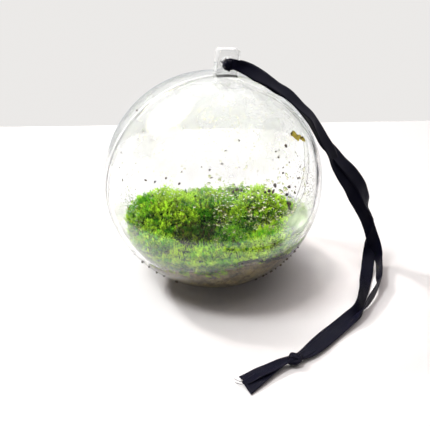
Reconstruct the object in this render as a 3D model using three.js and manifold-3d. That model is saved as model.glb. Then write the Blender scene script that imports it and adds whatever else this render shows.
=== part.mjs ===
// A moss garden in a clear two-part ball, with the tied ribbon that it hangs by.
//
// Units are millimetres and +Z is up. The origin is the centre of the small flat that
// the ball stands on. The two half-balls meet in the plane y = 0, the front of the
// garden faces -Y, and the ribbon falls over the +X side and lies on the table.

import * as THREE from 'three';
import { mergeVertices } from 'three/addons/utils/BufferGeometryUtils.js';
import Module from 'manifold-3d';

// The ball
const BALL_RADIUS = 50;
const WALL = 2;
const FLAT_RADIUS = 9;
const BALL_SEGMENTS = 48;
const ARC_STEPS = 13;
const CENTRE_HEIGHT = Math.sqrt(BALL_RADIUS ** 2 - FLAT_RADIUS ** 2);
const INNER_RADIUS = BALL_RADIUS - WALL;

// The push-fit between the halves: a lip on the front half enters a rebate in the back half
const CLEARANCE = 0.3;
const BEAD = { height: 0.5, width: 0.8 };
const LIP = { thickness: 0.85, length: 2 };

// The hanging tab, one plate on each half, leaning a little towards +X
const TAB = { width: 10, plate: 2.6, foot: 49.45, top: 61.6, corner: 1.4, lean: 6.5 };
const TAB_HOLE = { radius: 2.9, height: 55.2 };

// What fills the ball
const FILL_RADIUS = INNER_RADIUS - CLEARANCE;
const SOIL_LEVEL = 26;
const SOIL_SLOPE = { x: 0.03, y: -0.11 };
const CUSHION_GAP = 0.3;

// Moss shoots stand on a triangular lattice, one pointed tip to every three lattice points.
// A cushion falls away from its crown by CUSHION_FALL times the distance squared.
const SHOOT_PITCH = 1.75;
const SHOOT_LEAN = 0.35;
const SHOOT_DIP = 0.6;
const SHOOT_SPREAD = { shortest: 0.7, longest: 1.2 };
const LEAST_MOSS = 1.2;
const CUSHION_FALL = 0.035;
const RANDOM_SEED = 20;

// The ribbon, a flat satin band, drawn thicker than the real cloth
const RIBBON_WIDTH = 6.4;
const RIBBON_THICKNESS = 0.8;

const COLOURS = {
  clear: { color: 0xf4f7f7, roughness: 0.05, metalness: 0, transparent: true, opacity: 0.3 },
  soil: { color: 0x3b2a1d, roughness: 0.95, metalness: 0 },
  moss: { color: 0x6f9a22, roughness: 0.85, metalness: 0 },
  brownMoss: { color: 0x4a4a1a, roughness: 0.9, metalness: 0 },
  darkMoss: { color: 0x3c7d17, roughness: 0.85, metalness: 0 },
  ribbon: { color: 0x11111c, roughness: 0.45, metalness: 0 },
};

const wasm = await Module();
wasm.setup();

// ---------------------------------------------------------------- solids and meshes

// A closed geometry as a solid, without the needle triangles where a revolve meets its axis.
function solid(geometry) {
  const bare = new THREE.BufferGeometry();
  bare.setAttribute('position', geometry.getAttribute('position').clone());
  if (geometry.index) {
    bare.setIndex(geometry.index.clone());
  }
  const merged = mergeVertices(bare, 1e-4);
  const index = merged.index.array;
  const triangles = [];
  for (let i = 0; i < index.length; i += 3) {
    const [a, b, c] = [index[i], index[i + 1], index[i + 2]];
    if (a !== b && b !== c && c !== a) {
      triangles.push(a, b, c);
    }
  }
  const vertProperties = new Float32Array(merged.getAttribute('position').array);
  const triVerts = new Uint32Array(triangles);
  return new wasm.Manifold(new wasm.Mesh({ numProp: 3, vertProperties, triVerts }));
}

function part(name, body, look) {
  const { vertProperties, triVerts } = body.getMesh();
  const geometry = new THREE.BufferGeometry();
  geometry.setAttribute('position', new THREE.BufferAttribute(new Float32Array(vertProperties), 3));
  geometry.setIndex(new THREE.BufferAttribute(new Uint32Array(triVerts), 1));
  geometry.computeVertexNormals();
  const mesh = new THREE.Mesh(geometry, new THREE.MeshStandardMaterial(look));
  mesh.name = name;
  return mesh;
}

// The largest body of a cut solid, without the loose scraps that the cut leaves.
function mainBody(body) {
  return body.decompose().reduce((largest, next) =>
    (next.volume() > largest.volume() ? next : largest));
}

function block(width, depth, height, x, y, z) {
  return solid(new THREE.BoxGeometry(width, depth, height).translate(x, y, z));
}

// Points on a circle of the ball's section, from one distance along the axis to another.
function arc(radius, from, to) {
  const start = Math.asin(from / radius);
  const end = Math.asin(to / radius);
  const points = [];
  for (let i = 0; i <= ARC_STEPS; i++) {
    const angle = start + (end - start) * i / ARC_STEPS;
    points.push([Math.max(0, radius * Math.cos(angle)), radius * Math.sin(angle)]);
  }
  return points;
}

function revolve(profile) {
  const points = profile.map(([radius, along]) => new THREE.Vector2(radius, along));
  return new THREE.LatheGeometry(points, BALL_SEGMENTS);
}

function filledBall(radius) {
  const profile = revolve([...arc(radius, -radius, radius)]);
  return solid(profile.rotateX(Math.PI / 2).translate(0, 0, CENTRE_HEIGHT));
}

// ---------------------------------------------------------------- the clear half-balls

// The front half: outer skin, bead, lip, then the inner skin back to the axis.
function frontProfile() {
  const bead = BALL_RADIUS + BEAD.height;
  const lip = INNER_RADIUS + LIP.thickness;
  return [
    ...arc(BALL_RADIUS, -BALL_RADIUS, -BEAD.width),
    [bead, -BEAD.width],
    [bead, 0],
    [lip, 0],
    [lip, LIP.length],
    ...arc(INNER_RADIUS, LIP.length, -INNER_RADIUS),
  ];
}

// The back half: inner skin from the axis, the rebate that takes the lip, bead, outer skin.
function backProfile() {
  const bead = BALL_RADIUS + BEAD.height;
  const rebate = INNER_RADIUS + LIP.thickness + CLEARANCE;
  const depth = LIP.length + CLEARANCE;
  return [
    ...arc(INNER_RADIUS, INNER_RADIUS, depth),
    [rebate, depth],
    [rebate, 0],
    [bead, 0],
    [bead, BEAD.width],
    ...arc(BALL_RADIUS, BEAD.width, BALL_RADIUS),
  ];
}

function tabOutline() {
  const half = TAB.width / 2;
  const { corner, foot, top } = TAB;
  const outline = new THREE.Shape();
  outline.moveTo(-half, foot);
  outline.lineTo(half, foot);
  outline.lineTo(half, top - corner);
  outline.absarc(half - corner, top - corner, corner, 0, Math.PI / 2, false);
  outline.absarc(corner - half, top - corner, corner, Math.PI / 2, Math.PI, false);
  const hole = new THREE.Path();
  hole.absarc(0, TAB_HOLE.height, TAB_HOLE.radius, 0, 2 * Math.PI, true);
  outline.holes.push(hole);
  return outline;
}

// One plate of the tab. It is drawn upright and spans y from 0 to -plate, or to +plate.
function tabPlate(side) {
  const plate = new THREE.ExtrudeGeometry(tabOutline(), {
    depth: TAB.plate,
    bevelEnabled: false,
    curveSegments: 5,
  });
  plate.rotateX(Math.PI / 2);
  plate.translate(0, side > 0 ? TAB.plate : 0, 0);
  return solid(plate.rotateY(THREE.MathUtils.degToRad(TAB.lean)));
}

function halfBall(profile, side) {
  const ball = solid(revolve(profile)).add(tabPlate(side)).translate([0, 0, CENTRE_HEIGHT]);
  const below = block(4 * BALL_RADIUS, 4 * BALL_RADIUS, BALL_RADIUS, 0, 0, -BALL_RADIUS / 2);
  return ball.subtract(below);
}

// ---------------------------------------------------------------- soil and moss

function soilHeight(x, y) {
  return SOIL_LEVEL + SOIL_SLOPE.x * x + SOIL_SLOPE.y * y;
}

// Everything below the sloping soil surface, raised by an amount.
function belowSurface(raised) {
  const depth = 2 * BALL_RADIUS;
  const wide = 4 * BALL_RADIUS;
  const slab = new THREE.BoxGeometry(wide, wide, depth).translate(0, 0, SOIL_LEVEL + raised - depth / 2);
  const slope = new THREE.Matrix4().set(
    1, 0, 0, 0,
    0, 1, 0, 0,
    SOIL_SLOPE.x, SOIL_SLOPE.y, 1, 0,
    0, 0, 0, 1,
  );
  return solid(slab.applyMatrix4(slope));
}

// The moss cushions: centre, height of the crown above the table and length of the shoots.
const CUSHIONS = [
  { name: 'moss_left', x: -21, y: 12, crown: 38, shoot: 2.6, look: COLOURS.moss },
  { name: 'moss_back', x: 2, y: 15, crown: 35.5, shoot: 2.4, look: COLOURS.moss },
  { name: 'moss_right', x: 28, y: -2, crown: 36.5, shoot: 2.6, look: COLOURS.darkMoss },
  { name: 'moss_brown', x: -14, y: -8, crown: 31.5, shoot: 2, look: COLOURS.brownMoss },
  { name: 'moss_vivid', x: 1, y: -17, crown: 31, shoot: 1.8, look: COLOURS.darkMoss },
  { name: 'moss_front_left', x: -32, y: -15, crown: 31.5, shoot: 2.4, look: COLOURS.moss },
  { name: 'moss_front', x: -13, y: -34, crown: 32, shoot: 2.4, look: COLOURS.moss },
  { name: 'moss_front_right', x: 17, y: -31, crown: 34, shoot: 2.4, look: COLOURS.moss },
  { name: 'moss_rear', x: 23, y: 29, crown: 26, shoot: 1.8, look: COLOURS.moss },
  { name: 'moss_rear_left', x: -8, y: 38, crown: 26, shoot: 1.8, look: COLOURS.moss },
];

function crownHeight(cushion, x, y) {
  const distance = Math.hypot(x - cushion.x, y - cushion.y);
  return cushion.crown - CUSHION_FALL * distance ** 2;
}

function highestCushion(x, y) {
  return CUSHIONS.reduce((best, next) =>
    (crownHeight(next, x, y) > crownHeight(best, x, y) ? next : best));
}

function seededRandom(seed) {
  let state = seed;
  return () => {
    state = (state * 1664525 + 1013904223) % 4294967296;
    return state / 4294967296;
  };
}

// One lattice point of the moss surface, raised to a leaning tip at every third point.
function mossPoint(column, row, random) {
  const x = (column + (row % 2) / 2) * SHOOT_PITCH - BALL_RADIUS;
  const y = row * SHOOT_PITCH * Math.sqrt(3) / 2 - BALL_RADIUS;
  const cushion = highestCushion(x, y);
  const floor = soilHeight(x, y) + LEAST_MOSS;
  const level = Math.max(crownHeight(cushion, x, y), floor);
  const diagonal = column - Math.floor(row / 2);
  const isTip = (((diagonal - row) % 3) + 3) % 3 === 0;
  const between = (low, high) => low + (high - low) * random();
  const lean = isTip ? SHOOT_LEAN : SHOOT_LEAN / 2;
  const { shortest, longest } = SHOOT_SPREAD;
  const rise = isTip ? cushion.shoot * between(shortest, longest) : -SHOOT_DIP * random();
  return [x + between(-lean, lean), y + between(-lean, lean), level + rise];
}

// A block of moss under the pointed surface, deeper than the cushions and wider than the ball.
function mossBlock() {
  const random = seededRandom(RANDOM_SEED);
  const columns = Math.ceil(2 * BALL_RADIUS / SHOOT_PITCH);
  const rows = Math.ceil(columns * 2 / Math.sqrt(3));
  const positions = [];
  for (let row = 0; row <= rows; row++) {
    for (let column = 0; column <= columns; column++) {
      const [x, y, z] = mossPoint(column, row, random);
      positions.push(x, y, z, x, y, 0);
    }
  }
  const top = (column, row) => 2 * (row * (columns + 1) + column);
  const triangles = [];
  const face = (a, b, c) => triangles.push(a, b, c, a + 1, c + 1, b + 1);
  const wall = (a, b) => triangles.push(a, a + 1, b, b, a + 1, b + 1);
  for (let row = 0; row < rows; row++) {
    for (let column = 0; column < columns; column++) {
      const [a, b] = [top(column, row), top(column + 1, row)];
      const [c, d] = [top(column, row + 1), top(column + 1, row + 1)];
      if (row % 2 === 0) {
        face(a, b, c);
        face(b, d, c);
      } else {
        face(a, b, d);
        face(a, d, c);
      }
    }
    wall(top(0, row + 1), top(0, row));
    wall(top(columns, row), top(columns, row + 1));
  }
  for (let column = 0; column < columns; column++) {
    wall(top(column, 0), top(column + 1, 0));
    wall(top(column + 1, rows), top(column, rows));
  }
  const geometry = new THREE.BufferGeometry();
  geometry.setAttribute('position', new THREE.Float32BufferAttribute(positions, 3));
  geometry.setIndex(triangles);
  return solid(geometry);
}

// The upright cell of one cushion, bounded where its neighbours stand as high as it does.
function cushionCell(cushion) {
  const wide = 4 * BALL_RADIUS;
  let cell = block(wide, wide, wide, 0, 0, 0);
  for (const other of CUSHIONS.filter((one) => one !== cushion)) {
    const away = new THREE.Vector2(other.x - cushion.x, other.y - cushion.y);
    const distance = away.length();
    const shift = (cushion.crown - other.crown) / (2 * CUSHION_FALL * distance);
    const edge = distance / 2 + shift - CUSHION_GAP / 2;
    const beyond = new THREE.BoxGeometry(wide, 2 * wide, 2 * wide);
    beyond.translate(edge + wide / 2, 0, 0);
    beyond.rotateZ(away.angle());
    beyond.translate(cushion.x, cushion.y, 0);
    cell = cell.subtract(solid(beyond));
  }
  return cell;
}

function buildMoss() {
  const moss = mossBlock().subtract(belowSurface(CLEARANCE)).intersect(filledBall(FILL_RADIUS));
  return CUSHIONS.map((cushion) =>
    part(cushion.name, mainBody(moss.intersect(cushionCell(cushion))), cushion.look));
}

// ---------------------------------------------------------------- the ribbon

// Stations of the two strands: x, y, z, roll in degrees (0 lies flat, 90 stands on edge)
// and the gathered width, where it isn't the ribbon's full width. Both strands leave the
// tab's hole, lean on the ball's shoulder, drop to the table, wind about each other and
// end in the knot.
const FRONT_STRAND = [
  [6.5, 0.8, 104.2, 90, 4.2], [6.8, -3.6, 104.2, 90, 4.6], [9.5, -4.4, 103.8, 85, 5],
  [13, -5, 102.9, 74, 5.8], [16.5, -6, 101.3, 68], [22, -8.2, 98.8, 63], [27.2, -9.7, 94.8, 59],
  [32.3, -11.3, 91, 52], [37.9, -13.3, 85.9, 42], [42.3, -14.8, 80.5, 40], [45.7, -16, 74.6, 46],
  [48.2, -16.8, 68.6, 50], [51.2, -17.7, 63.4, 55], [53.6, -18, 57.4, 60], [56.3, -18.5, 52, 65],
  [59.3, -19, 46.5, 68], [63, -19.2, 40.3, 72], [66.6, -19.4, 34, 74], [70, -19.6, 27.4, 72],
  [73.4, -20, 20.5, 60], [76.4, -20.7, 14.2, 52], [78.4, -22.4, 8.9, 54], [78.5, -25.5, 5.4, 60],
  [76.8, -29.6, 4, 68], [73.4, -34.8, 3.9, 78], [69.1, -40.4, 3.9, 86], [64.5, -45.6, 3.9, 92],
  [59.6, -50.3, 3.9, 92], [54.2, -54.4, 3.8, 80], [48.6, -57.9, 3.4, 54], [42.8, -60.8, 2.8, 26],
  [36.8, -63.8, 2.5, 15], [30.5, -67.4, 2.4, 12], [24, -71.2, 2.4, 10], [18, -74.5, 2.6, 8, 5.4],
  [13, -77, 3, 0, 4], [9.5, -78.6, 3.2, 0, 3.4],
];
const BACK_STRAND = [
  [6.5, -0.8, 104.2, 90, 4.2], [6.8, 3.7, 103.6, 90, 4.2], [9.9, 4.5, 103.1, 88, 3.4],
  [13.2, 2.2, 102.7, 80, 3.6], [15.3, -2.3, 101.6, 74, 5], [17.7, -4.6, 100, 70],
  [22.5, -6.7, 97.8, 64], [27.7, -8.2, 94.1, 58], [32.8, -9.7, 90.5, 46],
  [37.3, -11.3, 85.3, 34], [41, -12.5, 79.8, 27], [44.3, -13.5, 74.2, 32],
  [47.6, -14.5, 67.8, 40], [52.1, -15.7, 62.6, 42], [55.8, -17, 57.4, 46], [60, -17.9, 52.4, 55],
  [63.2, -18.4, 48.1, 57], [66.4, -18.7, 43.6, 48], [68.6, -18.8, 39.6, 35],
  [70.6, -18.8, 35, 24], [72.2, -18.6, 30.4, 8], [73.2, -18.3, 25.2, -12],
  [73.9, -18.2, 19.6, -28], [74.6, -18.8, 13.6, -34], [74.8, -20.4, 8.4, -30],
  [74, -22.8, 4.6, -20], [72.2, -25.8, 2.4, -10], [69.6, -29.4, 1.5, -6], [66.2, -34, 1.6, -10],
  [62.4, -39.2, 2.3, -20], [58.9, -43.7, 2.8, -32], [55.3, -47.8, 3, -40],
  [51.3, -51.8, 2.9, -40], [46.8, -55.6, 2.4, -30], [41, -59.4, 1.6, -12], [34.4, -63.4, 1.1, 0],
  [27.6, -67.6, 1.1, 4], [21, -71.6, 1.2, 4, 6], [14.6, -75.2, 2, 0, 4.6],
  [9.5, -77.8, 2.6, 0, 3.4],
];
const FIRST_TAIL = [
  [9.5, -78, 3, 20, 3.6], [4.5, -78.8, 2.7, 14, 5.2], [-1.5, -79.9, 2.5, 10],
  [-7.2, -81.2, 2.4, 8], [-13.2, -82.6, 2.2, 6],
];
const SECOND_TAIL = [
  [9.5, -78.6, 2.4, 10, 3.6], [3.4, -79.6, 1.6, 6, 5], [-2.6, -81.4, 1.1, 2, 6],
  [-8.4, -84.2, 1, 0], [-14.2, -87.6, 1, 0],
];
const KNOT = { place: [9.3, -78.3, 2.9], radii: [5.6, 3.9, 2.6], turn: 30 };

const UP = new THREE.Vector3(0, 0, 1);

// A flat strip through its stations, with a flat face at each end.
function strip(stations) {
  const centre = new THREE.CatmullRomCurve3(
    stations.map(([x, y, z]) => new THREE.Vector3(x, y, z)), false, 'centripetal');
  const steps = stations.length - 1;
  const positions = [];
  for (let i = 0; i <= steps; i++) {
    const [x, y, z, roll, width = RIBBON_WIDTH] = stations[i];
    const along = centre.getTangent(i / steps);
    const level = new THREE.Vector3().crossVectors(along, UP).normalize();
    const across = level.applyAxisAngle(along, THREE.MathUtils.degToRad(roll));
    const through = new THREE.Vector3().crossVectors(along, across);
    for (const [side, face] of [[-1, -1], [1, -1], [1, 1], [-1, 1]]) {
      const corner = new THREE.Vector3(x, y, z)
        .addScaledVector(across, side * width / 2)
        .addScaledVector(through, face * RIBBON_THICKNESS / 2);
      positions.push(corner.x, corner.y, corner.z);
    }
  }
  const triangles = [0, 2, 1, 0, 3, 2];
  for (let i = 0; i < steps; i++) {
    for (let k = 0; k < 4; k++) {
      const [a, b] = [4 * i + k, 4 * i + (k + 1) % 4];
      triangles.push(a, b, b + 4, a, b + 4, a + 4);
    }
  }
  const last = 4 * steps;
  triangles.push(last, last + 1, last + 2, last, last + 2, last + 3);
  const geometry = new THREE.BufferGeometry();
  geometry.setAttribute('position', new THREE.Float32BufferAttribute(positions, 3));
  geometry.setIndex(triangles);
  return solid(geometry);
}

function buildRibbon() {
  const lump = new THREE.SphereGeometry(1, 12, 8).scale(...KNOT.radii);
  lump.rotateZ(THREE.MathUtils.degToRad(KNOT.turn)).translate(...KNOT.place);
  const ribbon = [FRONT_STRAND, BACK_STRAND, FIRST_TAIL, SECOND_TAIL]
    .map(strip)
    .reduce((whole, next) => whole.add(next), solid(lump));
  return part('ribbon', ribbon, COLOURS.ribbon);
}

// ---------------------------------------------------------------- the object

const object = new THREE.Group();
object.name = 'moss_terrarium_ornament';
object.add(part('shell_front', halfBall(frontProfile(), -1), COLOURS.clear));
object.add(part('shell_back', halfBall(backProfile(), 1), COLOURS.clear));
object.add(part('soil', filledBall(FILL_RADIUS).intersect(belowSurface(0)), COLOURS.soil));
object.add(...buildMoss());
object.add(buildRibbon());

export default object;
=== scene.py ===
"""A moss garden in a clear two-part ball, with the satin ribbon that it hangs by.

Lengths are in metres and +Z is up. The ball stands on the origin, its seam lies in the
plane y = 0, and the ribbon falls over the +X side and lies on the table.
"""

import math
import random

import bmesh
import bpy
import numpy as np
from mathutils import Matrix, Vector, noise


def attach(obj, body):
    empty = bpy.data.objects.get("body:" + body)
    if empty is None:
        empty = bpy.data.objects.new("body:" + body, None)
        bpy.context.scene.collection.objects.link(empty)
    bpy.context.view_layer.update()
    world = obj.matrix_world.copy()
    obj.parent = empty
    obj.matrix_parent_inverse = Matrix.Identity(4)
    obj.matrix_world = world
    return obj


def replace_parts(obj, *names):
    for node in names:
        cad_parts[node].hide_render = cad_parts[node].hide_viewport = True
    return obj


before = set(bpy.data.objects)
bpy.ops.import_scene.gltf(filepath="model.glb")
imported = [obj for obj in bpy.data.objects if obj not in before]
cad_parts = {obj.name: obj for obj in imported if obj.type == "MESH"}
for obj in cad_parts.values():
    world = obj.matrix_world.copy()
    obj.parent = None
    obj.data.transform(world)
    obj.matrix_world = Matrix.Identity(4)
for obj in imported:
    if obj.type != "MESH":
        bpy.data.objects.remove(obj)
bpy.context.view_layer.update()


# ---------------------------------------------------------------- the two half-balls
# Clear injection-moulded plastic, 2 mm thick. Each half carries one plate of the hanging
# tab. They push together at the seam, where a lip on the front half enters a rebate in
# the back half, and a small bead runs round the rim of both.

BALL_RADIUS = 0.050
INNER_RADIUS = 0.048
FLAT_RADIUS = 0.009
CENTRE = Vector((0.0, 0.0, math.sqrt(BALL_RADIUS**2 - FLAT_RADIUS**2)))
SEAM_GAP = 0.00004
BEAD_START = 0.00155
LIP_RADIUS, LIP_ROOT_RADIUS, LIP_LENGTH = 0.04885, 0.0481, 0.002
REBATE_RADIUS, REBATE_DEPTH = 0.04915, 0.0023
TAB_LEAN = math.radians(6.5)
TAB_HOLE_HEIGHT = 0.0552
TAB_HOLE_RADIUS = 0.0029
TAB_FACE = 0.0026


def new_piece(name, points, faces):
    """A mesh piece from its points and its faces, which all have as many corners."""
    points = np.asarray(points, np.float32).reshape(-1, 3)
    faces = np.asarray(faces, np.int32)
    mesh = bpy.data.meshes.new(name)
    mesh.vertices.add(len(points))
    mesh.vertices.foreach_set("co", points.ravel())
    mesh.loops.add(faces.size)
    mesh.loops.foreach_set("vertex_index", faces.ravel())
    mesh.polygons.add(len(faces))
    starts = np.arange(len(faces), dtype=np.int32) * faces.shape[1]
    mesh.polygons.foreach_set("loop_start", starts)
    mesh.update(calc_edges=True)
    mesh.validate()
    mesh.shade_smooth()
    piece = bpy.data.objects.new(name, mesh)
    bpy.context.scene.collection.objects.link(piece)
    return piece


def ring_faces(rings, around, closed=False):
    """Faces that join rings of points in their order, each ring with this many points. In a
    closed body the last ring joins the first."""
    low = np.arange(rings if closed else rings - 1)[:, None] * around
    high = (low + around) % (rings * around)
    ring = np.arange(around)
    following = (ring + 1) % around
    faces = [low + ring, low + following, high + following, high + ring]
    return np.stack(faces, axis=-1).reshape(-1, 4)


class Shading:
    """Adds nodes to a tree. An input is given a value, or the socket that feeds it."""

    def __init__(self, tree):
        self.nodes, self.links = tree.nodes, tree.links
        self.nodes.clear()

    def add(self, kind, inputs=(), **settings):
        """A node with these settings and inputs. Gives back the node's outputs."""
        node = self.nodes.new(kind)
        for name, value in settings.items():
            setattr(node, name, value)
        for socket, value in dict(inputs).items():
            if isinstance(value, bpy.types.NodeSocket):
                self.links.new(value, node.inputs[socket])
            else:
                node.inputs[socket].default_value = value
        return node.outputs

    def place(self):
        return self.add("ShaderNodeTexCoord")["Object"]

    def noise(self, place, scale, **more):
        return self.add("ShaderNodeTexNoise", {"Vector": place, "Scale": scale, **more})["Fac"]

    def cells(self, place, scale):
        """How far each point lies from the middle of the cell that it is in."""
        return self.add("ShaderNodeTexVoronoi", {"Vector": place, "Scale": scale})["Distance"]

    def ramp(self, value, start=0.0, end=1.0, low=0.0, high=1.0, smooth=False):
        """A value that goes from low to high while the given one goes from start to end."""
        inputs = {"Value": value, "From Min": start, "From Max": end, "To Min": low, "To Max": high}
        kind = "SMOOTHSTEP" if smooth else "LINEAR"
        return self.add("ShaderNodeMapRange", inputs, interpolation_type=kind)["Result"]

    def math(self, operation, *values):
        return self.add("ShaderNodeMath", enumerate(values), operation=operation)["Value"]

    def measure(self, operation, *vectors):
        """The number that one or two vectors give, such as a length or a distance."""
        return self.add("ShaderNodeVectorMath", enumerate(vectors), operation=operation)["Value"]

    def blended(self, factor, first, second):
        colours = {"Factor": factor, "A": first, "B": second}
        return self.add("ShaderNodeMix", colours, data_type="RGBA")["Result"]

    def two_colours(self, factor, *stops):
        """A ramp of colour between two stops, each a place on the ramp and a colour."""
        colour = self.add("ShaderNodeValToRGB", {"Fac": factor})["Color"]
        for element, (position, tint) in zip(colour.node.color_ramp.elements, stops):
            element.position, element.color = position, tint
        return colour

    def bump(self, height, strength, distance, **more):
        inputs = {"Height": height, "Strength": strength, "Distance": distance, **more}
        return self.add("ShaderNodeBump", inputs)["Normal"]

    def group(self, tree, **inputs):
        return self.add("ShaderNodeGroup", inputs, node_tree=tree)

    def principled(self, inputs):
        return self.add("ShaderNodeBsdfPrincipled", inputs)["BSDF"]

    def mixed(self, factor, first, second):
        """Two shaders mixed."""
        return self.add("ShaderNodeMixShader", {"Fac": factor, 1: first, 2: second})["Shader"]

    def surface(self, shader):
        self.add("ShaderNodeOutputMaterial", {"Surface": shader})


def new_material(name):
    """An empty node material, and what adds nodes to it."""
    material = bpy.data.materials.new(name)
    material.use_nodes = True
    return material, Shading(material.node_tree)


def new_group(name, inputs, outputs):
    """A node group with these sockets, what adds nodes to it, and its own inputs."""
    group = bpy.data.node_groups.new(name, "ShaderNodeTree")
    for direction, sockets in (("INPUT", inputs), ("OUTPUT", outputs)):
        for socket, kind in sockets.items():
            group.interface.new_socket(socket, in_out=direction, socket_type="NodeSocket" + kind)
    nodes = Shading(group)
    return group, nodes, nodes.add("NodeGroupInput")


def arc(radius, start, end, steps):
    """Points (distance from the axis, distance along it) on a circle about the centre."""
    angles = np.linspace(math.asin(start / radius), math.asin(end / radius), steps)
    return [(max(0.0, radius * math.cos(a)), radius * math.sin(a)) for a in angles]


def turn_about_seam_axis(profile, segments=176):
    """A closed skin turned about the axis that runs through the ball along y."""
    angles = np.linspace(0, 2 * math.pi, segments, endpoint=False)
    radius, along = (np.array(column)[:, None] for column in zip(*profile))
    x, z = radius * np.sin(angles), radius * np.cos(angles) + CENTRE.z
    points = np.stack([x, np.broadcast_to(along, x.shape), np.maximum(z, 0.0)], axis=-1)
    return points.reshape(-1, 3), ring_faces(len(profile), segments)


def rim_bead(side):
    """The rim's rounded bead, from the outer skin to the seam."""
    shape = [(50.0, 1.5), (50.03, 1.3), (50.09, 0.95), (50.14, 0.6), (50.16, 0.2), (50.15, 0.06)]
    points = [(r / 1000, side * max(y / 1000, SEAM_GAP)) for r, y in shape]
    return points + [(0.05013, side * SEAM_GAP)]


def front_profile():
    """Round the outer skin to the seam, over the lip, and back along the inner skin."""
    outer = arc(BALL_RADIUS, -BALL_RADIUS, -BEAD_START, 70)
    lip = [(LIP_RADIUS, -SEAM_GAP), (LIP_RADIUS, LIP_LENGTH - 0.0002),
           (LIP_RADIUS - 0.00015, LIP_LENGTH), (LIP_ROOT_RADIUS, LIP_LENGTH)]
    return outer + rim_bead(-1) + lip + arc(INNER_RADIUS, 0.0019, -INNER_RADIUS, 70)


def back_profile():
    """Round the inner skin to the rebate, over the bead, and back along the outer skin."""
    rebate = [(LIP_ROOT_RADIUS, REBATE_DEPTH), (REBATE_RADIUS, REBATE_DEPTH),
              (REBATE_RADIUS, SEAM_GAP)]
    outer = arc(BALL_RADIUS, BEAD_START, BALL_RADIUS, 70)
    return arc(INNER_RADIUS, INNER_RADIUS, 0.0024, 70) + rebate + rim_bead(1)[::-1] + outer


def tab_edge(angle, inset):
    """Where a ray from the hole's centre meets the plate's rounded outline."""
    half, top, foot, corner = 0.005 - inset, 0.0616 - inset, 0.0485, 0.0014
    direction = Vector((math.sin(angle), math.cos(angle)))
    low, high = 0.0, 0.02
    for _ in range(30):
        middle = (low + high) / 2
        x, h = abs(direction.x) * middle, TAB_HOLE_HEIGHT + direction.y * middle
        over_x, over_h = x - (half - corner), h - (top - corner)
        inside = x <= half and foot <= h <= top
        if inside and over_x > 0 and over_h > 0:
            inside = math.hypot(over_x, over_h) <= corner
        low, high = (middle, high) if inside else (low, middle)
    return direction * low


def tab_plate(side, steps=120):
    """One plate of the tab with its hole and eased edges, as a closed ring of faces."""
    face, eased, flank = side * TAB_FACE, side * (TAB_FACE - 0.00007), side * (TAB_FACE - 0.00025)
    back = side * SEAM_GAP
    loops = [("edge", 0.00025, face), ("edge", 0.00007, eased), ("edge", 0.0, flank),
             ("edge", 0.0, side * 0.0002), ("edge", 0.0001, back), ("hole", 0.0, back),
             ("hole", 0.0, flank), ("hole", 0.00007, eased), ("hole", 0.00025, face)]
    points = []
    for kind, inset, y in loops:
        for i in range(steps):
            angle = 2 * math.pi * i / steps
            if kind == "edge":
                offset = tab_edge(angle, inset)
            else:
                offset = Vector((math.sin(angle), math.cos(angle))) * (TAB_HOLE_RADIUS + inset)
            points.append((offset.x, y, TAB_HOLE_HEIGHT + offset.y))
    lean = Matrix.Translation(CENTRE) @ Matrix.Rotation(TAB_LEAN, 4, "Y")
    return [lean @ Vector(p) for p in points], ring_faces(len(loops), steps, closed=True)


def is_parting_face(centre):
    """True on the lip, the rebate and the flat that meets the other half."""
    radius, off_seam = math.hypot(centre.x, centre.z - CENTRE.z), abs(centre.y)
    on_bead = radius > BALL_RADIUS - 0.0001 and off_seam > SEAM_GAP + 0.00001
    in_wall = INNER_RADIUS - 0.00001 < radius < BALL_RADIUS + 0.0004
    return in_wall and off_seam < REBATE_DEPTH + 0.00005 and not on_bead


def clean_solid(piece):
    """Merges doubled points and turns every face outwards."""
    body = bmesh.new()
    body.from_mesh(piece.data)
    bmesh.ops.remove_doubles(body, verts=body.verts, dist=1e-7)
    bmesh.ops.recalc_face_normals(body, faces=body.faces)
    body.to_mesh(piece.data)
    body.free()


def half_ball(name, node, profile, side):
    """A half-ball joined with its plate of the tab. Its inner skin has the second material,
    and the faces of the seam and of the tab's sides have the third."""
    piece = new_piece(name, *turn_about_seam_axis(profile))
    clean_solid(piece)
    for polygon in piece.data.polygons:
        if is_parting_face(polygon.center):
            polygon.material_index = 2
        elif (polygon.center - CENTRE).length < INNER_RADIUS + 0.00001:
            polygon.material_index = 1
    plate = new_piece(name + "_plate", *tab_plate(side))
    clean_solid(plate)
    for polygon in plate.data.polygons:
        on_face = abs(polygon.center.y) > TAB_FACE - 0.00024
        polygon.material_index = 0 if on_face else 2
    for material in (clear_plastic, misted_plastic, parting_plastic):
        piece.data.materials.append(material)
        plate.data.materials.append(material)
    union = piece.modifiers.new("tab", "BOOLEAN")
    union.operation, union.solver, union.object = "UNION", "MANIFOLD", plate
    joined = bpy.data.meshes.new_from_object(piece.evaluated_get(
        bpy.context.evaluated_depsgraph_get()))
    piece.modifiers.clear()
    piece.data = joined
    bpy.data.objects.remove(plate)
    joined.shade_smooth()
    joined.set_sharp_from_angle(angle=math.radians(32))
    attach(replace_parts(piece, node), "root")


def lit_through(nodes, shader, tint):
    """Makes the shader the surface, and lets lamplight through it as a tinted pane does."""
    shadow = nodes.add("ShaderNodeLightPath")["Is Shadow Ray"]
    pane = nodes.add("ShaderNodeBsdfTransparent", {"Color": tint})["BSDF"]
    nodes.surface(nodes.mixed(shadow, shader, pane))


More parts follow.
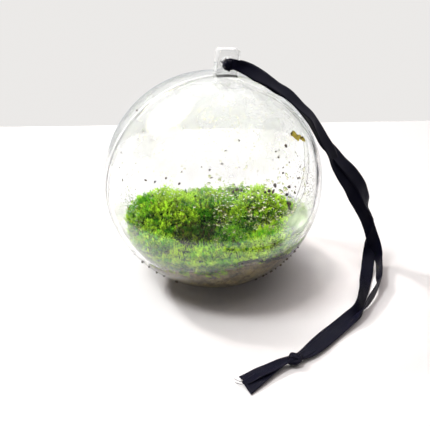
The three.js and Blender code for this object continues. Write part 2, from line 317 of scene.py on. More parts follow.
def scuff_group():
    """Fine handling marks: a mask of hair scratches and a slow unevenness of the surface."""
    group, nodes, given = new_group("handling_marks", {"Scale": "Float"},
                                    {"Marks": "Float", "Unevenness": "Float"})
    place = nodes.place()
    fine = nodes.noise(place, given["Scale"], Detail=6.0, Distortion=2.5)
    nodes.add("NodeGroupOutput", {"Marks": nodes.ramp(fine, 0.6, 0.72),
                                  "Unevenness": nodes.noise(place, 60.0)})
    return group


handling_marks = scuff_group()


def plastic_finish(name, mist):
    """Polished clear plastic. Where it is seen edge on and light goes a long way through it, its
    colour is painted darker and bluer: painted shade for its dark rim. With mist, the damp inner
    side is beaded, fogged and, below, wetted."""
    material, nodes = new_material(name)
    # Painted edge shade: the colour turns blue-grey as the skin is seen edge on.
    edge_on = nodes.add("ShaderNodeLayerWeight", {"Blend": 0.5})["Facing"]
    depth = nodes.blended(nodes.ramp(edge_on, 0.76, 0.93, smooth=True),
                          (0.985, 0.992, 0.992, 1), (0.16, 0.20, 0.27, 1))
    marks = nodes.group(handling_marks, Scale=260.0)
    uneven = nodes.bump(marks["Unevenness"], 0.06, 0.0004)
    shader = nodes.principled({
        "Base Color": depth, "Transmission Weight": 1.0, "IOR": 1.5,
        "Roughness": nodes.ramp(marks["Marks"], high=0.04),
        "Normal": beaded(nodes, uneven) if mist else uneven})
    if mist:
        shader = fogged_above(nodes, wetted_below(nodes, shader))
    lit_through(nodes, shader, (0.885, 0.868, 0.864, 1))
    return material


def beaded(nodes, below):
    """Dew in patches: tiny lens-shaped beads where a slow noise is high."""
    place = nodes.place()
    bead = nodes.ramp(nodes.cells(place, 1050.0), 0.0, 0.42, 1.0, 0.0, smooth=True)
    patch = nodes.ramp(nodes.noise(place, 75.0, Detail=3.0), 0.47, 0.62)
    return nodes.bump(nodes.math("MULTIPLY", bead, patch), 0.5, 0.00022, Normal=below)


def wetted_below(nodes, shader):
    """Where wet soil is pressed to the wall, water fills the gap and the inner skin no longer
    shows: that is below a slope which lies near the soil's rim."""
    place = nodes.place()
    height = nodes.measure("DOT_PRODUCT", place, (-0.13, 0.11, 1.0))
    rim = nodes.math("MULTIPLY_ADD", nodes.noise(place, 180.0), 0.006, 0.0225)
    film = nodes.add("ShaderNodeBsdfTransparent")["BSDF"]
    return nodes.mixed(nodes.math("LESS_THAN", height, rim), shader, film)


# centre, reach and strength of the low patches of fog
FOG_PATCHES = [((0.0245, -0.0395, 0.0460), 0.015, 1.9), ((-0.0245, -0.0265, 0.0190), 0.016, 1.1)]


def fogged_above(nodes, shader):
    """Breath too fine to see as drops whitens the inner skin in soft patches: high up, and
    in two places low on the front."""
    place = nodes.place()
    height = nodes.add("ShaderNodeSeparateXYZ", {"Vector": place})["Z"]
    where = nodes.ramp(height, 0.058, 0.078, smooth=True)
    for centre, reach, most in FOG_PATCHES:
        distance = nodes.measure("DISTANCE", place, centre)
        low_patch = nodes.ramp(distance, reach, 0.001, high=most, smooth=True)
        where = nodes.math("MAXIMUM", where, low_patch)
    patches = nodes.ramp(nodes.noise(place, 110.0, Detail=5.0), 0.35, 0.65, 0.16, 0.34)
    fog = nodes.add("ShaderNodeBsdfTranslucent", {"Color": (0.93, 0.94, 0.95, 1)})["BSDF"]
    return nodes.mixed(nodes.math("MULTIPLY", where, patches), shader, fog)


def parting_finish():
    """The faces that meet at the seam, left matt by the mould. They touch, so light goes
    nearly straight through them."""
    material, nodes = new_material("parting_plastic")
    marks = nodes.group(handling_marks, Scale=300.0)
    nodes.surface(nodes.principled({
        "Base Color": (0.93, 0.94, 0.95, 1), "Roughness": 0.7,
        "Alpha": nodes.ramp(marks["Unevenness"], low=0.02, high=0.3)}))
    return material


clear_plastic = plastic_finish("clear_plastic", mist=False)
misted_plastic = plastic_finish("misted_plastic", mist=True)
parting_plastic = parting_finish()
half_ball("half_ball_front", "shell_front", front_profile(), -1)
half_ball("half_ball_back", "shell_back", back_profile(), 1)


# ---------------------------------------------------------------- the soil
# Dark moist potting soil poured into the bottom of the ball. It packs against the wall in
# crumbs with small dark gaps, and its surface rises a little towards the front.

SOIL_RADIUS = 0.04755


def soil_level(x, y):
    """The soil's surface: a gentle slope that sinks a little more at the back and right."""
    behind, aside = np.maximum(0.0, y), np.maximum(0.0, x - 0.028)
    return 0.026 + 0.03 * x - 0.11 * y - 1.1 * behind**2 - 27 * aside**2


def crumb_noise(point, scale):
    """Rounded crumbs: 0 in the gaps between them and 1 on their tops."""
    near, _ = noise.voronoi(Vector(point) * scale)
    return min(1.0, (near[1] - near[0]) * 1.8)


def soil_rim(side):
    """Height at which the soil's surface meets the wall on this side."""
    rim = 0.026
    for _ in range(4):
        flat = math.sqrt(SOIL_RADIUS**2 - (rim - CENTRE.z) ** 2)
        rim = soil_level(side.x * flat, side.y * flat)
    return rim


def soil_at_wall(side, rim, part):
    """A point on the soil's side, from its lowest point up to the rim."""
    polar = math.acos(min(1.0, (CENTRE.z - rim) / SOIL_RADIUS)) * part
    normal = side * math.sin(polar) + Vector((0, 0, -math.cos(polar)))
    gaps = 0.00095 * (1 - crumb_noise(normal * 0.05, 520))
    hollows = 0.0004 * (1 - crumb_noise(normal, 62))
    return CENTRE + normal * (SOIL_RADIUS - gaps - hollows)


def soil_on_top(side, rim, part):
    """A point on the rough top under the moss, from the middle out to its turned-down rim."""
    point = side * (math.sqrt(SOIL_RADIUS**2 - (rim - CENTRE.z) ** 2) - 0.001) * part
    under_moss = 0.0009 - 0.0009 * crumb_noise(point, 420)
    turned_down = 0.0026 * min(1.0, 6 - 6 * part)
    point.z = soil_level(point.x, point.y) - under_moss - turned_down
    return point


def build_soil(around=420, down=96, wall_share=0.72):
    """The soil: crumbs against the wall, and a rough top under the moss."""
    sides = [Vector((math.sin(angle), -math.cos(angle), 0))
             for angle in (2 * math.pi * i / around for i in range(around))]
    rims = [soil_rim(side) for side in sides]
    points = []
    for part in (j / down for j in range(down + 1)):
        for side, rim in zip(sides, rims):
            if part <= wall_share:
                points.append(soil_at_wall(side, rim, part / wall_share))
            else:
                points.append(soil_on_top(side, rim, (1 - part) / (1 - wall_share)))
    piece = new_piece("soil_packed", [tuple(p) for p in points], ring_faces(down + 1, around))
    clean_solid(piece)
    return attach(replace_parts(piece, "soil"), "root")


def earth_finish(name, dark, light, damp):
    """Moist earth: dark crumbs, lighter fibres and pale grains, shinier where it is damp."""
    material, nodes = new_material(name)
    place = nodes.place()
    shade = nodes.noise(place, 240.0, Detail=7.0, Roughness=0.7)
    colour = nodes.two_colours(shade, (0.36, dark), (0.64, light))
    grains = nodes.ramp(nodes.cells(place, 330.0), 0.16, 0.1)
    nodes.surface(nodes.principled({
        "Base Color": nodes.blended(grains, colour, (0.30, 0.24, 0.16, 1)),
        "Roughness": nodes.ramp(shade, low=damp, high=0.95),
        "Normal": nodes.bump(nodes.cells(place, 620.0), 0.8, 0.0006)}))
    return material


damp_soil = earth_finish("damp_soil", (0.024, 0.018, 0.008, 1), (0.38, 0.30, 0.13, 1), 0.35)
soil_packed = build_soil()
soil_packed.data.materials.append(damp_soil)


# ---------------------------------------------------------------- the moss cushions
# Ten cushions of living moss pressed edge to edge on the soil. Each is a dense stand of
# short shoots with small pointed leaves set in a spiral, over a felt of older dark stems.

CUSHIONS = [
    # node, x, y, height of the crown, how steeply it falls, length of the shoots, slot
    ("moss_left", -0.021, 0.012, 0.0376, 36, 0.0025, "moss"),
    ("moss_back", 0.002, 0.013, 0.0340, 38, 0.0022, "moss"),
    ("moss_right", 0.0250, 0.001, 0.0368, 58, 0.0025, "moss"),
    ("moss_brown", -0.013, -0.008, 0.0306, 35, 0.0018, "moss_brown"),
    ("moss_vivid", 0.004, -0.018, 0.0308, 44, 0.0017, "moss_deep"),
    ("moss_front_left", -0.032, -0.015, 0.0312, 35, 0.0024, "moss"),
    ("moss_front", -0.013, -0.034, 0.0318, 35, 0.0024, "moss"),
    ("moss_front_right", 0.017, -0.031, 0.0334, 35, 0.0024, "moss"),
    ("moss_rear", 0.023, 0.029, 0.0246, 35, 0.0014, "moss"),
    ("moss_rear_left", -0.008, 0.038, 0.0242, 35, 0.0014, "moss"),
]
LEAST_MOSS, LEAST_MOSS_IN_HOLLOWS, USUAL_MOSS_HEIGHT = 0.0009, 0.0006, 0.030
# How far from the ball's centre the roots at the wall lie, the felt of the bed ends, and the
# last leaf may reach.
ROOT_RADIUS, FELT_RADIUS, PRESSED_RADIUS = 0.0470, 0.0469, 0.04768
# Smaller mounds and hollows: x, y, radius, rise, and how much yellower the moss is there.
# The yellowness is partly the moss's own tone and partly painted light: brighter on mounds, deeper
# green in hollows.
SMALL_FORMS = [
    (-0.0315, 0.0140, 0.0050, 0.0010, -0.25), (-0.0255, 0.0215, 0.0030, -0.0040, -0.2),
    (-0.0262, 0.0120, 0.0025, -0.0022, -0.2), (-0.0200, 0.0190, 0.0050, 0.0006, 0.4),
    (-0.0125, 0.0145, 0.0045, 0.0004, 0.35), (-0.0190, 0.0020, 0.0055, 0.0000, 0.35),
    (-0.0135, -0.0075, 0.0050, -0.0012, -0.3), (-0.0060, -0.0075, 0.0040, -0.0026, -0.8),
    (-0.0030, -0.0010, 0.0035, -0.0020, -0.7), (-0.0130, 0.0050, 0.0028, -0.0015, -0.5),
    (0.0015, 0.0080, 0.0030, -0.0016, -0.3), (0.0020, 0.0180, 0.0060, 0.0004, 0.3),
    (0.0240, 0.0060, 0.0055, 0.0006, 0.8), (0.0280, -0.0060, 0.0045, 0.0000, -0.1),
    (0.0180, -0.0060, 0.0030, -0.0022, -0.6), (0.0100, -0.0030, 0.0040, 0.0016, 0.1),
    (0.0120, -0.0380, 0.0060, 0.0004, 0.5), (-0.0280, -0.0280, 0.0080, 0.0000, 0.25),
    (0.0390, -0.0010, 0.0050, -0.0016, -0.1), (0.0350, -0.0240, 0.0085, 0.0042, 0.1),
    (-0.0080, -0.0420, 0.0070, 0.0000, -0.3), (-0.0210, 0.0040, 0.0060, 0.0004, 0.35),
    # These two add no rise: they only paint the right mound yellower and brighter, as painted light.
    (0.0240, -0.0060, 0.0095, 0.0, 0.32), (0.0345, -0.0110, 0.0060, 0.0, 0.25),
]
# Height of the moss's lower edge on the wall, by degrees from -Y towards +X.
LOW_EDGE = np.array([
    (-180, 0.0188), (-140, 0.0192), (-108, 0.0222), (-78, 0.0240), (-63, 0.0252), (-48, 0.0262),
    (-33, 0.0268), (-23, 0.0258), (-13, 0.0288), (-8, 0.0312), (2, 0.0314), (17, 0.0288),
    (32, 0.0252), (40, 0.0258), (49, 0.0288), (60, 0.0296), (70, 0.0282), (85, 0.0266),
    (100, 0.0250), (140, 0.0204), (180, 0.0188),
])
moss_random = np.random.default_rng(20)


def moss_level(x, y):
    """The moss surface and the cushion that it belongs to, whose dome is highest there."""
    heights = np.array([crown - fall * ((x - cx) ** 2 + (y - cy) ** 2)
                        for _, cx, cy, crown, fall, _, _ in CUSHIONS])
    earth = soil_level(x, y)
    top = np.maximum(heights.max(axis=0), earth + LEAST_MOSS)
    for form_x, form_y, radius, rise, _ in SMALL_FORMS:
        top = top + rise * np.exp(-((x - form_x) ** 2 + (y - form_y) ** 2) / radius**2)
    return np.maximum(top, earth + LEAST_MOSS_IN_HOLLOWS), heights.argmax(axis=0)


def yellowness_and_painted_light(x, y):
    """How far the moss here is from its middle green, towards yellow or towards deep green: partly
    its own tone, partly painted light on mounds and painted shade in hollows.
    """
    return sum(tone * np.exp(-((x - form_x) ** 2 + (y - form_y) ** 2) / (1.3 * radius) ** 2)
               for form_x, form_y, radius, _, tone in SMALL_FORMS)


def jittered_lattice(half, pitch, jitter):
    """Places in a three-sided lattice over a square, each moved a little by chance."""
    x, y = np.meshgrid(np.arange(-half, half, pitch), np.arange(-half, half, pitch * 0.866))
    x = x + (np.arange(len(x)) % 2)[:, None] * pitch / 2
    x, y = np.stack([x, y]) + moss_random.uniform(-jitter, jitter, (2, *x.shape)) * pitch
    return x.ravel(), y.ravel()


# The middles of the tufts that the shoots stand in, and how much each stands out.
TUFTS = np.stack(jittered_lattice(0.049, 0.0025, 0.36), 1)
TUFT_RISE = moss_random.normal(0, 0.00042, len(TUFTS))
TUFT_TONE = moss_random.normal(0, 0.22, len(TUFTS))


def tufts_at(x, y):
    """For each place, how open it is (0 between tufts, 1 inside one), the way out of its
    tuft, and the tuft's own rise and tone."""
    openness, out, owner = np.empty(len(x)), np.empty((len(x), 2)), np.empty(len(x), int)
    for start in range(0, len(x), 1500):
        part = slice(start, start + 1500)
        apart = np.stack([x[part, None] - TUFTS[:, 0], y[part, None] - TUFTS[:, 1]], -1)
        distance = np.hypot(apart[..., 0], apart[..., 1])
        rows, near = np.arange(len(distance)), distance.argmin(axis=1)
        first = distance[rows, near].copy()
        out[part] = apart[rows, near]
        distance[rows, near] = 1.0
        openness[part] = np.clip((distance.min(axis=1) - first) / 0.0011, 0, 1)
        owner[part] = near
    return openness, out, TUFT_RISE[owner], TUFT_TONE[owner]


def lumps(points, scale):
    """A slow noise at these points."""
    return np.array([noise.noise(Vector(p) * scale) for p in points])


def held_in_ball(points, radius):
    """Points pressed back inside the wall where they would pass through it."""
    from_centre = points - np.array(CENTRE)
    distance = np.linalg.norm(from_centre, axis=1, keepdims=True)
    return np.array(CENTRE) + from_centre * np.minimum(1.0, radius / distance)


GOLDEN_ANGLE = 2.39996


def shoot_form(leaves, seed):
    """One shoot of unit height: leaves in a spiral, each a folded blade with four corners."""
    rng = np.random.default_rng(seed)
    points, growth = [], []
    for k in range(leaves):
        part = (k + 0.5) / leaves
        turn = GOLDEN_ANGLE * k + rng.uniform(-0.3, 0.3)
        out = np.array([math.cos(turn), math.sin(turn), 0])
        across = np.array([-math.sin(turn), math.cos(turn), 0])
        reach = (0.46 - 0.26 * part) * rng.uniform(0.75, 1.25)
        rise = (0.24 + 0.30 * part) * rng.uniform(0.8, 1.25)
        base = np.array([0, 0, 0.82 * part])
        middle = base + out * reach * 0.5 + np.array([0, 0, rise * 0.62])
        width = 0.088 * rng.uniform(0.8, 1.2)
        tip = base + out * reach + np.array([0, 0, rise])
        points += [base, middle + across * width, tip, middle - across * width]
        growth += [0.5 * part, 0.3 + 0.6 * part, 0.6 + 0.4 * part, 0.3 + 0.6 * part]
    return np.array(points), np.array(growth)


def frond_form(pairs, seed):
    """One flat frond of unit length: leaflets in pairs along a stem, longest near its foot."""
    rng = np.random.default_rng(seed)
    points, growth = [], []
    for k in range(pairs):
        part = (k + 0.4) / pairs
        for side in (-1, 1):
            base = np.array([0, 0, part * 0.9])
            reach = (0.34 - 0.25 * part) * rng.uniform(0.8, 1.2)
            tip = base + np.array([side * reach, rng.normal(0, 0.03), reach * rng.uniform(0.5, 0.9)])
            middle = (base + tip) / 2
            along = (tip - base) / np.linalg.norm(tip - base)
            across = np.array([-along[2], 0, along[0]]) * 0.034
            points += [base, middle + across, tip, middle - across]
            growth += [0.45, 0.7, 0.8 + 0.2 * part, 0.7]
    points += [[-0.014, 0, 0], [0.014, 0, 0], [0.006, 0, 0.97], [-0.006, 0, 0.97]]
    growth += [0.3, 0.3, 0.9, 0.9]
    return np.array(points), np.array(growth)


SHOOT_FORMS = [shoot_form(leaves, seed) for seed, leaves in enumerate((10, 11, 12, 10, 11, 12))]
FROND_FORMS = [frond_form(pairs, seed) for seed, pairs in enumerate((8, 9, 10, 9))]


def stand_of_shoots(forms, roots, axes, facing, lengths, colours):
    """Shoots at these roots along these axes: points, four-cornered faces and colour data.
    Fronds turn their flat side to the way that facing gives; upright shoots take any turn."""
    all_points, all_faces, all_data = [], [], []
    kinds = moss_random.integers(0, len(forms), len(roots))
    spins = moss_random.uniform(0, 2 * math.pi, len(roots))
    if facing is not None:
        spins = moss_random.normal(0, 0.35, len(roots))
    count = 0
    for kind, (form, growth) in enumerate(forms):
        chosen = np.nonzero(kinds == kind)[0]
        axis = axes[chosen] / np.linalg.norm(axes[chosen], axis=1, keepdims=True)
        if facing is None:
            helper = np.where(np.abs(axis[:, 2:3]) < 0.9, [[0, 0, 1.0]], [[1.0, 0, 0]])
        else:
            helper = facing[chosen]
        first = np.cross(helper, axis)
        first /= np.linalg.norm(first, axis=1, keepdims=True)
        second = np.cross(axis, first)
        cos, sin = np.cos(spins[chosen])[:, None], np.sin(spins[chosen])[:, None]
        u, v = first * cos + second * sin, second * cos - first * sin
        size = lengths[chosen][:, None, None]
        placed = (roots[chosen][:, None] + size * (
            form[None, :, 0:1] * u[:, None] + form[None, :, 1:2] * v[:, None]
            + form[None, :, 2:3] * axis[:, None]))
        all_points.append(placed.reshape(-1, 3))
        all_faces.append(np.arange(len(chosen) * len(form)).reshape(-1, 4) + count)
        rest = np.repeat(colours[chosen], len(form), axis=0)
        all_data.append(np.column_stack([np.tile(growth, len(chosen)), rest]))
        count += len(chosen) * len(form)
    return np.concatenate(all_points), np.concatenate(all_faces), np.concatenate(all_data)


def top_roots(pitch):
    """Root places over the whole bed, inside the wall."""
    x, y = jittered_lattice(0.047, pitch, 0.35)
    level, owner = moss_level(x, y)
    inside = x**2 + y**2 + (level - CENTRE.z) ** 2 < (ROOT_RADIUS + 0.0001) ** 2
    return x[inside], y[inside], level[inside], owner[inside]


def pressed_low_edge(azimuth):
    """Height of the moss's lower edge at this place on the wall."""
    return float(np.interp((azimuth + 180) % 360 - 180, LOW_EDGE[:, 0], LOW_EDGE[:, 1]))


def way_out(azimuth):
    """The level way out of the ball at these degrees from -Y towards +X."""
    return np.stack([np.sin(np.radians(azimuth)), -np.cos(np.radians(azimuth))], 1)


def places_on_wall(side, z, radius=ROOT_RADIUS):
    """Points at this distance from the ball's centre, on these sides and at these heights."""
    flat = np.sqrt(radius**2 - (z - CENTRE.z) ** 2)
    return np.stack([side[:, 0] * flat, side[:, 1] * flat, z], 1)


def top_at_wall(side, radius=ROOT_RADIUS):
    """Height at which the moss meets the wall on these sides, and the cushion there."""
    top = np.full(len(side), USUAL_MOSS_HEIGHT)
    for _ in range(6):
        places = places_on_wall(side, top, radius)
        top, owner = moss_level(places[:, 0], places[:, 1])
    return top, owner


def ragged_edge(azimuth):
    """How far the moss's lower edge wanders here from its drawn height."""
    return 0.0018 * noise.noise(Vector((math.radians(azimuth) * 7, 3.1, 0)))


def wall_roots(count):
    """Root places on the wall, between the moss's lower edge and its top."""
    azimuth = moss_random.uniform(-180, 180, count)
    side = way_out(azimuth)
    top, _ = top_at_wall(side, ROOT_RADIUS + 0.0002)
    low = np.array([pressed_low_edge(a) - 0.0012 + ragged_edge(a) for a in azimuth])
    z = low + (np.maximum(top, low + 0.001) - low) * moss_random.uniform(0, 1, count)
    places = places_on_wall(side, z)
    _, owner = moss_level(places[:, 0], places[:, 1])
    # On the front right no shoots grow at the lowest of the moss, so the dark felt and the
    # near-black crumbs there show as a line of painted shade.
    in_shade = (z <= low + 0.0026) & (azimuth >= -5) & (azimuth <= 80)
    return places[~in_shade], owner[~in_shade]


def felt_bed(pitch=0.0007):
    """The felt of old stems under the whole bed, and the cushion that each face belongs to."""
    lines = np.arange(-0.048, 0.0485, pitch)
    x, y = (a.ravel() for a in np.meshgrid(lines, lines))
    level, _ = moss_level(x, y)
    openness, _, rise, _ = tufts_at(x, y)
    points = np.stack([x, y, level - 0.0022 + 0.0012 * openness + rise], 1)
    points[:, 2] += 0.0004 * lumps(points, 900)
    points = held_in_ball(points, FELT_RADIUS)
    size = len(lines)
    cell = np.arange(size - 1)
    corner = (cell[:, None] * size + cell[None, :]).ravel()
    faces = np.stack([corner, corner + 1, corner + size + 1, corner + size], 1)
    middle_x, middle_y = x[faces].mean(axis=1), y[faces].mean(axis=1)
    middle_level, owner = moss_level(middle_x, middle_y)
    distance = np.sqrt(middle_x**2 + middle_y**2 + (middle_level - CENTRE.z) ** 2)
    within = distance < INNER_RADIUS - 0.0002
    return points, faces[within], owner[within]


def felt_wall(around=360, up=16):
    """The felt's side, pressed against the wall down to the moss's lower edge, and the
    cushion that each face belongs to."""
    azimuth = np.arange(around) * 360 / around - 180
    side = way_out(azimuth)
    top, owner = top_at_wall(side)
    low = np.array([pressed_low_edge(a) for a in azimuth])
    rows = [places_on_wall(side, low + (np.maximum(top, low) - low) * j / up)
            for j in range(up + 1)]
    return np.concatenate(rows), ring_faces(up + 1, around), np.tile(owner, up)


# growth of the felt: its height in the shoot, tone, how open it is, and a draw that isn't dry
# Its low height gives the felt the dark root colour: the old stems' own colour and painted shade
# under the shoots.
FELT_LOOK = (0.04, 0.4, 0.2, 0.9)


def felt_of(index, felt):
    """The part of the felt that belongs to one cushion."""
    points, faces, owner = felt
    used, faces = np.unique(faces[owner == index], return_inverse=True)
    return points[used], faces.reshape(-1, 4)


def leaf_colour_group():
    """Colour of a moss leaf: dark at the root and bright at the tip, which is partly the shoot's own
    colour and partly painted shade deep in the stand, and painted darker too where the place is less
    open, between tufts. It comes in patches of two greens, partly painted light, with dry brown
    shoots among them. The attribute growth holds the height in the shoot, the tone, how open the
    place is, and a draw that picks the dry shoots."""
    group, nodes, given = new_group(
        "moss_leaf_colour",
        {"Root": "Color", "Leaf": "Color", "Tip": "Color", "Dry": "Color", "Dryness": "Float"},
        {"Colour": "Color", "Roughness": "Float"})
    growth = nodes.add("ShaderNodeVertexColor", layer_name="growth")
    parts = nodes.add("ShaderNodeSeparateColor", {"Color": growth["Color"]})
    height, tone, openness = parts["Red"], parts["Green"], parts["Blue"]
    patches = nodes.noise(nodes.place(), 130.0, Detail=4.0)
    sunny = nodes.math("ADD", nodes.math("MULTIPLY_ADD", tone, 0.7, -0.35), patches)
    living = nodes.blended(nodes.ramp(sunny, 0.36, 0.66), given["Leaf"], given["Tip"])
    is_dry = nodes.math("LESS_THAN", growth["Alpha"], given["Dryness"])
    leaf = nodes.blended(is_dry, living, given["Dry"])
    # Painted shade: darker towards the root and between tufts.
    lit = nodes.math("MULTIPLY", nodes.ramp(height, 0.1, 0.75), nodes.ramp(openness, low=0.35))
    nodes.add("NodeGroupOutput", {"Colour": nodes.blended(lit, given["Root"], leaf),
                                  "Roughness": nodes.ramp(height, low=0.75, high=0.42)})
    return group


moss_leaf_colour = leaf_colour_group()


def moss_finish(name, root, leaf, tip, dry, dryness):
    """Thin moist leaves that glow where light comes through them."""
    material, nodes = new_material(name)
    made = nodes.group(moss_leaf_colour, Root=(*root, 1), Leaf=(*leaf, 1), Tip=(*tip, 1),
                       Dry=(*dry, 1), Dryness=dryness)
    face = nodes.principled({"Base Color": made["Colour"], "Roughness": made["Roughness"],
                             "Specular IOR Level": 0.35})
    through = nodes.add("ShaderNodeBsdfTranslucent", {"Color": made["Colour"]})["BSDF"]
    nodes.surface(nodes.mixed(0.46, face, through))
    return material


moss_finishes = {
    "moss": moss_finish("bright_moss", (0.012, 0.035, 0.003), (0.15, 0.52, 0.012),
                        (0.66, 0.98, 0.05), (0.36, 0.30, 0.05), 0.04),
    "moss_deep": moss_finish("deep_moss", (0.008, 0.035, 0.002), (0.06, 0.34, 0.008),
                             (0.28, 0.66, 0.02), (0.22, 0.15, 0.04), 0.03),
    "moss_brown": moss_finish("old_moss", (0.008, 0.018, 0.002), (0.06, 0.18, 0.008),
                              (0.30, 0.44, 0.03), (0.16, 0.11, 0.03), 0.28),
}


def away_from_centre(points):
    """The way out of the ball at these points."""
    out = points - np.array(CENTRE)
    return out / np.linalg.norm(out, axis=1, keepdims=True)


def climbing_shoots():
    """Short shoots that point up the wall."""
    roots, owner = wall_roots(3400)
    outward = away_from_centre(roots)
    axes = np.array([0, 0, 1.0]) - outward * outward[:, 2:3] - 0.2 * outward
    axes += moss_random.normal(0, 0.45, axes.shape)
    lengths = moss_random.uniform(0.0014, 0.0024, len(roots))
    tone = 0.35 + moss_random.normal(0, 0.2, len(roots))
    # Their openness is drawn by chance and only sets painted shade.
    openness, dryness = (moss_random.uniform(0, most, len(roots)) for most in (0.7, 1))
    colours = np.column_stack([tone, openness, dryness])
    return owner, SHOOT_FORMS, roots, axes, None, lengths, colours


def pressed_fronds():
    """Flat fronds pressed to the wall, lying any way but mostly up."""
    roots, owner = wall_roots(1050)
    facing = away_from_centre(roots)
    axes = moss_random.normal(0, 1, roots.shape) * [1, 1, 0.8] + [0, 0, 0.5]
    axes -= facing * (axes * facing).sum(axis=1, keepdims=True)
    roots = roots + facing * moss_random.uniform(-0.0004, 0.0006, (len(roots), 1))
    lengths = moss_random.uniform(0.0026, 0.0056, len(roots))
    tone = 0.66 + moss_random.normal(0, 0.25, len(roots)) + 0.6 * yellowness_and_painted_light(*roots[:, :2].T)
    openness, dryness = (moss_random.uniform(least, 1, len(roots)) for least in (0.55, 0))
    colours = np.column_stack([tone, openness, dryness])
    return owner, FROND_FORMS, roots, axes, facing, lengths, colours


def arching_fronds(roots, out, colours, owner):
    """Fronds that arch over the top, most of them near the front."""
    share = np.where(roots[:, 1] < -0.020, 0.16, 0.045)
    loose = moss_random.uniform(0, 1, len(roots)) < share
    axes = np.column_stack([out[loose] * 500, np.full(loose.sum(), 0.9)])
    axes += moss_random.normal(0, 0.55, axes.shape)
    axes[:, 2] = np.abs(axes[:, 2])
    upward = moss_random.normal(0, 0.3, axes.shape) + [-0.1, -0.4, 1.0]
    lengths = moss_random.uniform(0.0022, 0.0042, loose.sum())
    # They are painted yellower, and with less painted shade, than the shoots they arch over.
    return (owner[loose], FROND_FORMS, roots[loose] + [0, 0, 0.0004], axes, upward, lengths,
            colours[loose] + [0.12, 0.2, 0])


def upright_shoots():
    """Shoots over the whole bed, which lean out of their tufts and down the slopes: cushion,
    roots, axes, the way out of the tuft, vigour and colours."""
    x, y, level, owner = top_roots(0.00082)
    openness, out, rise, tone = tufts_at(x, y)
    roots = np.stack([x, y, level - 0.0021 + 0.0011 * openness + rise], 1)
    step = 0.0004
    slope_x = (moss_level(x + step, y)[0] - moss_level(x - step, y)[0]) / (2 * step)
    slope_y = (moss_level(x, y + step)[0] - moss_level(x, y - step)[0]) / (2 * step)
    axes = np.stack([-0.6 * slope_x, -0.6 * slope_y, np.ones(len(x))], 1)
    axes[:, :2] += out * 330
    axes += moss_random.normal(0, 0.14, axes.shape)
    rooted = np.clip((level - soil_level(x, y)) / 0.0026, 0.4, 1)
    vigour = (1.1 + 0.4 * lumps(roots, 210)) * (0.75 + 0.3 * openness) * rooted
    tone = 0.5 + tone + yellowness_and_painted_light(x, y) + moss_random.normal(0, 0.16, len(x))
    colours = np.column_stack([tone, openness, moss_random.uniform(0, 1, len(x))])
    return owner, roots, axes, out, vigour, colours


def build_moss():
    """Every cushion as one piece: felt, upright shoots, and shoots and fronds on the wall."""
    owner, roots, axes, out, vigour, colours = upright_shoots()
    climbing, pressed = climbing_shoots(), pressed_fronds()
    arching = arching_fronds(roots, out, colours, owner)
    felts = felt_bed(), felt_wall()
    for index, (node, _, _, _, _, length, slot) in enumerate(CUSHIONS):
        mine = owner == index
        lengths = length * vigour[mine] * moss_random.uniform(0.7, 1.25, mine.sum())
        stands = [
            stand_of_shoots(SHOOT_FORMS, roots[mine], axes[mine], None, lengths, colours[mine])]
        for whose, forms, *rows in (climbing, arching, pressed):
            rows = [row if row is None else row[whose == index] for row in rows]
            stands.append(stand_of_shoots(forms, *rows))
        for felt in felts:
            felt_points, felt_faces = felt_of(index, felt)
            stands.append((felt_points, felt_faces, np.tile(FELT_LOOK, (len(felt_points), 1))))
        starts = np.cumsum([0] + [len(points) for points, _, _ in stands])
        points, faces, data = zip(*stands)
        faces = np.concatenate([part + start for part, start in zip(faces, starts)])
        piece = new_piece(node + "_shoots",
                          held_in_ball(np.concatenate(points), PRESSED_RADIUS), faces)
        growth = piece.data.color_attributes.new("growth", "FLOAT_COLOR", "POINT")
        look = np.clip(np.concatenate(data), 0, 1).astype(np.float32)
        growth.data.foreach_set("color", look.ravel())
        piece.data.materials.append(moss_finishes[slot])
        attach(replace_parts(piece, node), "root")


build_moss()


# ---------------------------------------------------------------- crumbs on the wall
# Bits of moist soil and moss that stuck to the inside of the ball when it was planted, and
# some on its outer skin. Nothing else fixes them.
# The row of near-black crumbs along the moss's lower edge on the front right is painted shade.

STUCK_CRUMBS = [
    # degrees from -Y towards +X, height and size in mm
    (-98, 83.4, 0.9), (-56, 66.8, 1.2), (-50, 67.2, 1.0), (-44, 69.7, 0.9), (-35.5, 72.8, 0.8),
    (-36, 68.5, 1.2), (-20, 74.2, 1.0), (-19, 71.5, 0.8), (-13, 76.2, 1.1), (-10, 80.3, 0.8),
    (34, 64.2, 1.1), (16, 65.6, 2.0), (24.6, 63.1, 1.4),
    (22.5, 60.4, 1.3), (-5.7, 66.8, 1.7), (-7.6, 66.2, 1.5), (-3.6, 66.3, 1.3), (-7, 68.7, 1.0),
    (11.7, 64.2, 1.6), (14.2, 63.4, 1.3), (9.4, 64.0, 1.2), (29, 61.8, 0.9), (28, 59.6, 0.9),
    (22.6, 56.6, 1.5), (23.4, 55.4, 1.6), (23.2, 54.0, 1.3), (-89, 63.7, 0.8), (-73, 62.4, 0.9),
    (-83, 71, 0.8), (-79, 66, 0.6), (-66, 71, 0.6), (-27, 64.5, 0.8), (-50, 62, 0.7),
    (37, 68, 0.8), (33, 74, 0.6), (27, 66.5, 0.7), (40, 60, 0.8), (38, 72, 0.7), (20, 71, 0.6),
    (-77, 27.3, 1.3), (-66.6, 24.4, 1.1), (-40, 12.0, 1.2), (-33, 9.5, 1.2), (-85, 30, 1.0),
    (-91, 36, 0.9), (8, 12.6, 1.0),
]
